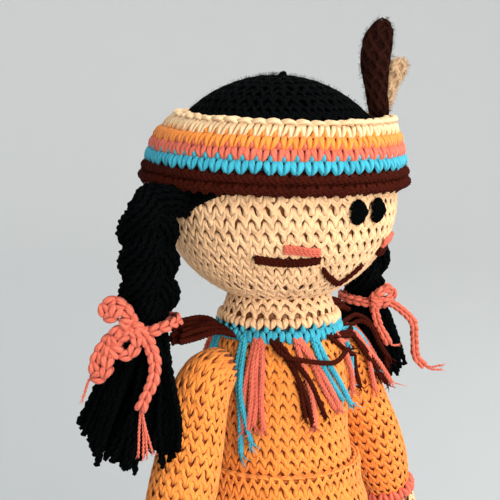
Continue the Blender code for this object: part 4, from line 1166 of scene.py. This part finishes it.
        # The boot's backing is painted mostly in shade
        self.crochet.cloth(parts, loft, 0, loft.length, inset=0.3 * MM, around=36, shade=0.2)
        self.crochet.rows(parts, loft, 17.5 * MM, loft.length, lift=0.1 * MM)
        self.crochet.fuzz(parts, loft, 17 * MM, loft.length, 600, 1.6 * MM)
        self.crochet.finish(parts, f"{name}_boot_crochet", Yarn.BROWN, body, [f"{name}_boot", f"{name}_insole"], fill=0.9)

    def braid(self, name: str, side: int) -> None:
        """Three-strand braid that starts under the band, its loose end and the cord tied round it."""
        parts = MeshParts()
        top = BRAID_TOP_Z + 7.5 * MM
        bottom = self.braid_bottom(side)
        share = np.linspace(0, 1, 80)
        swell = smooth([(v,) for v in (0.9, 1.0, 1.0, 1.0, 0.97, 0.78)], 80)[:, 0]
        for k in range(3):
            angle = math.tau * (k / 3 + 1.2 * share) + (0.96 if side < 0 else 2.4)
            x = side * (BRAID_X + np.cos(angle) * 5.3 * MM * swell)
            y = BRAID_Y + np.sin(2 * angle) * 4.4 * MM * swell
            wound = np.stack([x, y, top + (bottom + MM - top) * share], axis=1)
            root = np.array([side * 46.5 * MM, BRAID_Y + (k - 1) * 4 * MM, top - 1.5 * MM])
            over = np.array([side * 57.0 * MM, BRAID_Y + (k - 1) * 5 * MM, top + 1.8 * MM])
            path = even(smooth(np.concatenate([[root, over], wound[4::8], wound[-1:]]), 110), 1.3 * MM)
            marks = np.linspace(0, 1, len(path))
            thick = 6.0 * MM * np.interp(marks, (0, 0.16, 0.3, 0.85, 1), (0.72, 0.95, 1.0, 0.98, 0.7))
            # A dark core tube under the braid's strands, painted almost fully in shade
            parts.tube(path, thick * 0.88, 10, depth=0.1)
            first, second = carried_frames(path)
            for j in range(12):
                around = math.tau * j / 12 + marks * 1.6
                out = (np.cos(around)[:, None] * first + np.sin(around)[:, None] * second) * thick[:, None]
                self.crochet.strand(parts, path + out * 0.9, 1.45 * MM, plies=2, turn=7 * MM, step=2.0 * MM)
        crossing = Crossing("head", f"{name}_hair", (side * 0.0475, 0.0045, 0.241), (side * 0.058, 0.0045, 0.231))
        self.crochet.finish(parts, f"{name}_braid_strands", Yarn.BLACK, crossing, [f"{name}_braid"])
        self.tassel(name, side)
        self.tie(name, side)

    @staticmethod
    def braid_bottom(side: int) -> float:
        """Where each braid ends; the left one is a little longer."""
        return BRAID_BOTTOM_Z - (3.0 * MM if side > 0 else 0.0)

    def tassel_place(self, side: int, down: float, x: float, y: float) -> np.ndarray:
        """A place in the loose end of a braid, by share of its length and of its half thickness and width."""
        levels = (0.0, 0.115, 0.17, 0.42, 0.70, 0.93, 1.0)
        out = np.interp(down, levels, (0, 0, 1.1, 5.4, 10.5, 14.9, 15.5))
        back = np.interp(down, levels, (0, 0, 0.6, 3.2, 5.8, 7.7, 8.0))
        swell = np.interp(down, levels, (0, 0, 0.42, 0.74, 0.93, 1.0, 0.97))
        thick = 7.2 + swell * (13.5 - 7.2) - 1.2
        wide = 7.2 + swell * (22.5 - 7.2) - 1.2
        return np.array([
            side * (BRAID_X + (out + x * thick) * MM),
            BRAID_Y + (back + y * wide) * MM,
            self.braid_bottom(side) - 0.3 * MM - down * TASSEL_LENGTH,
        ])

    def tassel(self, name: str, side: int) -> None:
        """The loose end of a braid, strand by strand."""
        parts = MeshParts()
        random = self.crochet.random
        count = 104
        clumps = random.normal(0, 0.2, (14, 2))
        for k in range(count):
            reach = math.sqrt((k + 0.5) / count)
            angle = k * math.pi * (3 - math.sqrt(5))
            x, y = reach * math.cos(angle), reach * math.sin(angle)
            clump = clumps[int((math.atan2(y, x) / math.tau + 0.5) * 13.99)]
            length = random.uniform(0.86, 1.0) - 0.14 * max(0.0, x + y)
            if side > 0:
                length *= 0.78
                x += 0.1
            levels = np.linspace(0.0, length, 8)
            sway = np.cumsum(random.normal(0, 0.055, (8, 2)), axis=0) * levels[:, None]
            path = [
                self.tassel_place(side, d, np.clip(x + (w[0] + clump[0]) * d, -0.88, 1.02), np.clip(y + (w[1] + clump[1]) * d, -1.02, 1.02))
                for d, w in zip(levels, sway)
            ]
            self.crochet.strand(parts, smooth(path, 26), random.uniform(1.3, 1.7) * MM, plies=2, turn=7 * MM, step=2.2 * MM)
        for k in range(26 if side < 0 else 0):
            share = k / 25
            start = np.array([side * (BRAID_X + random.uniform(-4, 3) * MM), BRAID_Y - random.uniform(1, 6) * MM, self.braid_bottom(side) - 4 * MM])
            reach = np.array([side * random.uniform(0.0, 4.5), -(18.5 - 12 * share), -random.uniform(36, 45) - 6 * share]) * MM
            bend = random.normal(0, 0.8 * MM, 3)
            path = [start, start + reach * np.array([0.4, 0.75, 0.26]) + bend, start + reach * np.array([0.9, 1.0, 0.66]) - bend, start + reach]
            path = np.array(path)
            path[1:, 0] = side * np.maximum(side * path[1:, 0], 67.6 * MM)
            self.crochet.strand(parts, smooth(path, 26), random.uniform(1.2, 1.5) * MM, plies=2, turn=7 * MM, step=2.2 * MM)
        self.crochet.finish(parts, f"{name}_tassel_strands", Yarn.BLACK, f"{name}_hair", [f"{name}_tassel"])

    def tie(self, name: str, side: int) -> None:
        """Crocheted cord round the braid's end, tied in a bow whose ends hang down over the loose hair."""
        shape = BOWS[name]
        parts = MeshParts()
        centre = np.array([side * BRAID_X, BRAID_Y, self.braid_bottom(side) - 3.0 * MM])
        turns = np.linspace(0, math.tau, 60)
        slope = shape.slope * MM * (np.cos(turns) - np.sin(turns)) / math.sqrt(2)
        around = centre + np.stack([9.7 * MM * np.cos(turns), 9.7 * MM * np.sin(turns), shape.rise * MM + slope], axis=1)
        self.crochet.chain(parts, around, lambda points: points - centre, link=shape.link * MM, size=shape.size)

        def place(point: Sequence[float]) -> np.ndarray:
            outward, forward, up = point
            return centre + np.array([side * outward, -forward, up]) * MM

        front = unit(np.array([-0.7, -0.7, 0.12]))
        for run in shape.chains:
            path = smooth([place(point) for point in run], 90)
            self.crochet.chain(parts, path, front, link=shape.link * MM, size=shape.size)
        for run in shape.strands:
            self.crochet.strand(parts, smooth([place(point) for point in run], 24), 0.62 * MM, plies=2, turn=3 * MM, fray=5)
        self.crochet.finish(parts, f"{name}_hair_tie_cord", Yarn.CORAL, f"{name}_hair", [f"{name}_hair_tie"])

    def fringe(self) -> None:
        """Yarn knotted along the collar, group by group."""
        # A place of two numbers is an azimuth from the front and a drop below the collar's foot, one of three is a point
        groups: tuple[tuple[str, Yarn, tuple[tuple[tuple[float, ...], ...], ...]], ...] = (
            ("fringe_05_turquoise", Yarn.TURQUOISE, (
                ((-79, -1), (-78.6, 12), (-76.4, 28), (-74.4, 45)),
                ((-76, -1), (-75, 11.5), (-72.8, 23.5), (-66, 40)),
            )),
            ("fringe_06_coral", Yarn.CORAL, (
                ((-66, -1), (-69.2, 11), (-72, 23.4), (-72.6, 35)),
                ((-64, -1), (-65.9, 11), (-67, 23), (-67.6, 35.4)),
                ((-62, -1), (-61.8, 11), (-62.2, 23), (-62.8, 33)),
                ((-60, -1), (-58.7, 11), (-57, 23), (-56, 34)),
            )),
            ("fringe_07_brown", Yarn.BROWN, (
                ((-50, -1), (-41, 4), (-31, 12.7), (-24.5, 30)),
                ((-48, -1), (-37.6, 4.7), (-22.5, 14.9), (-9, 30)),
                ((-46, -1), (-38, 6), (-26, 18), (-17, 33)),
                ((-52, 0), (-39.9, 4), (-19.7, 7.5), (-0.7, 8.5), (14, 5)),
            )),
            ("fringe_08_coral", Yarn.CORAL, (
                ((-29, -1), (-19.7, 7.2), (-10, 17.7), (3.3, 28.4)),
                ((-26, -1), (-14.8, 9.4), (-2.1, 20.5), (8, 29.6)),
                ((-31, -1), (-27, 8.9), (-20.8, 21.1), (-15.8, 33.6)),
            )),
            ("fringe_09_turquoise", Yarn.TURQUOISE, (
                ((-14, -1), (-10.5, 7.7), (0.4, 16.6), (11.5, 26.1)),
                ((-10, -1), (-6.4, 7.2), (7.8, 17.4), (20, 28)),
            )),
            ("fringe_10_brown", Yarn.BROWN, (
                ((3, -0.5), (15, -24.5, 180.2), (26, -17, 179), (34.2, -9.5, 176.2), (39.3, -12.2, 168.5), (46, -13, 161.1),
                 (50.5, -14.5, 154), (52.3, -16.1, 150.7)),
                ((5, -0.5), (15, -25, 178.8), (26.5, -17.5, 177), (35, -11.5, 173), (40, -13.5, 165.5), (45.5, -14.5, 158.5),
                 (49, -15.5, 152)),
                ((7, 0), (14, -26.5, 172.5), (24, -21, 168), (34, -13, 163), (36, -12.5, 157), (37.2, -12.8, 151)),
            )),
            ("fringe_11_coral", Yarn.CORAL, (
                ((17, -0.5), (28, 3), (33.5, -11, 176.5), (39, -11.2, 171.1), (43.6, -12, 166), (49, -14.5, 158.5), (52.8, -17, 151)),
                ((19, -0.5), (25, 7), (31, 16), (36, 25)),
            )),
            ("fringe_12_turquoise", Yarn.TURQUOISE, (
                ((34, -0.5), (31, -13, 177.5), (38.8, -8.6, 174.4), (43.5, -9.6, 170), (46, -11.4, 164.8), (45.6, -13, 159)),
                ((37, -0.5), (41, 8), (47, 15), (53, 24)),
            )),
            ("fringe_13_brown", Yarn.BROWN, (
                ((50, -1), (29, -11.5, 180.6), (37, -6.9, 180.4), (42.1, -6.7, 181), (47.4, -8.8, 177.6), (49.6, -12, 169.7),
                 (53, -14.9, 162.8), (53, -15.6, 157.2)),
                ((52, -1), (29.5, -12, 179.2), (37, -8.4, 178.4), (42.5, -8.6, 178.4), (47.4, -10.6, 174.4), (50, -13.2, 167.6),
                 (53, -15.6, 161.2)),
            )),
            ("fringe_14_coral", Yarn.CORAL, (
                ((70, -1), (31, -9, 177.5), (39.4, -8.4, 174.2), (41.4, -12.2, 165.5), (43.6, -13.8, 157.3), (46, -14.8, 149.7)),
                ((73, -1), (32, -6, 178.5), (41.5, -5.2, 176), (46.6, -8.8, 169), (49.6, -11.2, 161), (51, -13, 153)),
            )),
        )
        for node, yarn, strands in groups:
            self.hang(node, yarn, strands)
        for node, yarn, azimuth, drop in (
            ("fringe_01_brown", Yarn.BROWN, -170, 38), ("fringe_02_coral", Yarn.CORAL, -143, 36),
            ("fringe_03_turquoise", Yarn.TURQUOISE, -118, 40), ("fringe_16_turquoise", Yarn.TURQUOISE, 135, 38),
        ):
            strands = tuple(
                ((azimuth + k * 2.6, -1), (azimuth + k * 4 + 1, drop * 0.3), (azimuth + k * 5 - 1, drop * 0.65), (azimuth + k * 6, drop * (1 - 0.06 * abs(k))))
                for k in (-1, 0, 1)
            )
            self.hang(node, yarn, strands)
        for node, side in (("fringe_04_brown", -1), ("fringe_15_brown", 1)):
            parts = MeshParts()
            for k in range(8):
                azimuth = math.radians(86 + 4.4 * k)
                start = np.array([math.sin(azimuth), -math.cos(azimuth), 0.0]) * (COLLAR_RADIUS - 0.5 * MM) / MM
                rise = 4.2 if k == 7 else 1.5 * (k % 3)
                end = np.array([(49.4 if side > 0 else 50.8) - 1.8 * (k % 3), 4.5 + 1.4 * k, 0.0])
                path = [
                    (start[0], start[1], 181.4 + 0.2 * k),
                    (start[0] * 0.7 + end[0] * 0.3, start[1] * 0.6 + end[1] * 0.4, 183.0 + rise),
                    (start[0] * 0.3 + end[0] * 0.7, start[1] * 0.2 + end[1] * 0.8, 182.8 + rise * 1.1),
                    (end[0], end[1], 180.9 + rise * 1.3),
                ]
                points = np.array(path) * MM * np.array([side, 1, 1])
                points[1:] += self.crochet.random.normal(0, 0.45 * MM, (3, 3))
                self.crochet.strand(parts, smooth(points, 26), 1.45 * MM)
            self.crochet.finish(parts, f"{node}_strands", Yarn.BROWN, "body", [node])

    def hang(self, node: str, yarn: Yarn, strands: Sequence[Sequence[tuple[float, ...]]]) -> None:
        """One knotted group: a loop over the collar's foot and the strands that hang from it."""
        parts = MeshParts()
        first = [strand[0][0] for strand in strands]
        middle = sum(first) / len(first)
        wide = max(2.4, (max(first) - min(first)) / 2 + 1.2)
        loop = [
            on_body(middle + a * wide, d * MM, lift * MM)
            for a, d, lift in ((-0.8, -1.6, 0.9), (-0.3, 0.2, 2.2), (0.3, 0.2, 2.2), (0.8, -1.6, 0.9))
        ]
        self.crochet.strand(parts, smooth(loop, 14), 1.1 * MM)
        reach = 0.0
        for k, strand in enumerate(strands):
            # A strand of five places is the one that crosses the others
            lift = 1.5 + 0.9 * (k % 2) + (3.2 if len(strand) == 5 else 0.0)
            path = []
            for i, spot in enumerate(strand):
                if len(spot) == 2:
                    path.append(on_body(spot[0], spot[1] * MM, (0.6 if i == 0 else lift) * MM))
                else:
                    path.append(np.array(spot) * MM)
            reach = max(reach, max(point[0] for point in path))
            sway = self.crochet.random.normal(0, 0.35 * MM, (len(path), 3))
            sway[0] = 0
            self.crochet.strand(parts, smooth(np.array(path) + sway, 40), (1.15 if yarn is Yarn.BROWN else 1.3) * MM, fray=8)
        body: str | Crossing = "body"
        if reach > 0.036:
            body = Crossing("body", "left_arm", (0.024, -0.014, 0.17), (0.038, -0.014, 0.17))
        self.crochet.finish(parts, f"{node}_strands", yarn, body, [node])

    def make(self) -> None:
        """Makes the whole doll."""
        self.head()
        self.hair_cap()
        self.side_hair()
        self.band()
        self.feathers()
        self.face()
        self.neck()
        self.dress()
        for name, side in SIDES:
            self.arm(name, side)
            self.leg(name, side)
            self.braid(name, side)
        self.fringe()


class Studio:
    """Camera, light and the pale surface that the doll stands on."""

    FLOOR_RADIUS = 2.4
    WALL_HEIGHT = 2.2

    def __init__(self, materials: MaterialLibrary) -> None:
        self.materials = materials

    def camera(self) -> None:
        """The photograph's point of view."""
        data = bpy.data.cameras.new("camera")
        data.lens = LENS_MM
        data.sensor_width = SENSOR_MM
        data.clip_start = 0.01
        camera = bpy.data.objects.new("camera", data)
        bpy.context.collection.objects.link(camera)
        head = Vector((0, AXIS_Y, HEAD_Z))
        camera.location = head + CAMERA_FROM_HEAD
        camera.rotation_euler = (TARGET_FROM_HEAD - CAMERA_FROM_HEAD).to_track_quat("-Z", "Y").to_euler()
        bpy.context.scene.camera = camera

    def surround(self) -> None:
        """A round floor that sweeps up into a wall, so that no horizon shows from any side."""
        bm = bmesh.new()
        profile = [(0.0, 0.0), (self.FLOOR_RADIUS * 0.6, 0.0)]
        bend = self.FLOOR_RADIUS * 0.4
        for i in range(1, 9):
            angle = math.pi / 2 * i / 8
            profile.append((self.FLOOR_RADIUS * 0.6 + bend * math.sin(angle), bend * (1 - math.cos(angle))))
        profile.append((self.FLOOR_RADIUS, self.WALL_HEIGHT))
        points = [bm.verts.new((radius, 0, height)) for radius, height in profile]
        edges = [bm.edges.new(pair) for pair in zip(points, points[1:])]
        bmesh.ops.spin(bm, geom=points + edges, axis=(0, 0, 1), angle=math.tau, steps=64, use_merge=True)
        bmesh.ops.remove_doubles(bm, verts=bm.verts, dist=1e-5)
        bmesh.ops.recalc_face_normals(bm, faces=bm.faces)
        bmesh.ops.reverse_faces(bm, faces=bm.faces)
        mesh = bpy.data.meshes.new("studio_floor")
        bm.to_mesh(mesh)
        bm.free()
        mesh.shade_smooth()
        mesh.materials.append(self.materials.paper("studio_paper", "#BBC0C2", "#DCDEDE"))
        floor = bpy.data.objects.new("studio_floor", mesh)
        bpy.context.collection.objects.link(floor)

    def lamp(self, name: str, place: Sequence[float], size: float, power: float, colour: str = "#FFFFFF") -> None:
        """A square soft light that looks at the doll's middle."""
        data = bpy.data.lights.new(name, "AREA")
        data.size = size
        data.energy = power
        data.color = srgb(colour)[:3]
        lamp = bpy.data.objects.new(name, data)
        bpy.context.collection.objects.link(lamp)
        lamp.location = place
        aim = Vector((0, 0, 0.18)) - Vector(place)
        lamp.rotation_euler = aim.to_track_quat("-Z", "Y").to_euler()

    def light(self) -> None:
        """A bright room and two soft lights."""
        world = bpy.data.worlds.new("room")
        world.use_nodes = True
        background = world.node_tree.nodes["Background"]
        background.inputs["Color"].default_value = srgb("#EEF0F2")
        background.inputs["Strength"].default_value = 0.9
        bpy.context.scene.world = world
        self.lamp("front", (-0.35, -1.15, 0.42), 0.8, 15.0, "#FFFAF4")
        self.lamp("top", (0.55, -0.75, 1.15), 0.6, 14.0, "#FFF9F2")
        view = bpy.context.scene.view_settings
        view.view_transform = "Standard"
        view.look = "None"
        view.exposure = 0.0

    def make(self) -> None:
        """Makes the camera, the floor and the lights."""
        self.camera()
        self.surround()
        self.light()


def main() -> None:
    """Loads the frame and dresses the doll."""
    logging.basicConfig(level=logging.INFO, format="%(name)s %(message)s")
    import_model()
    materials = MaterialLibrary()
    Studio(materials).make()
    Doll(Crochet(materials)).make()
    bpy.context.view_layer.update()


if __name__ == "__main__":
    main()
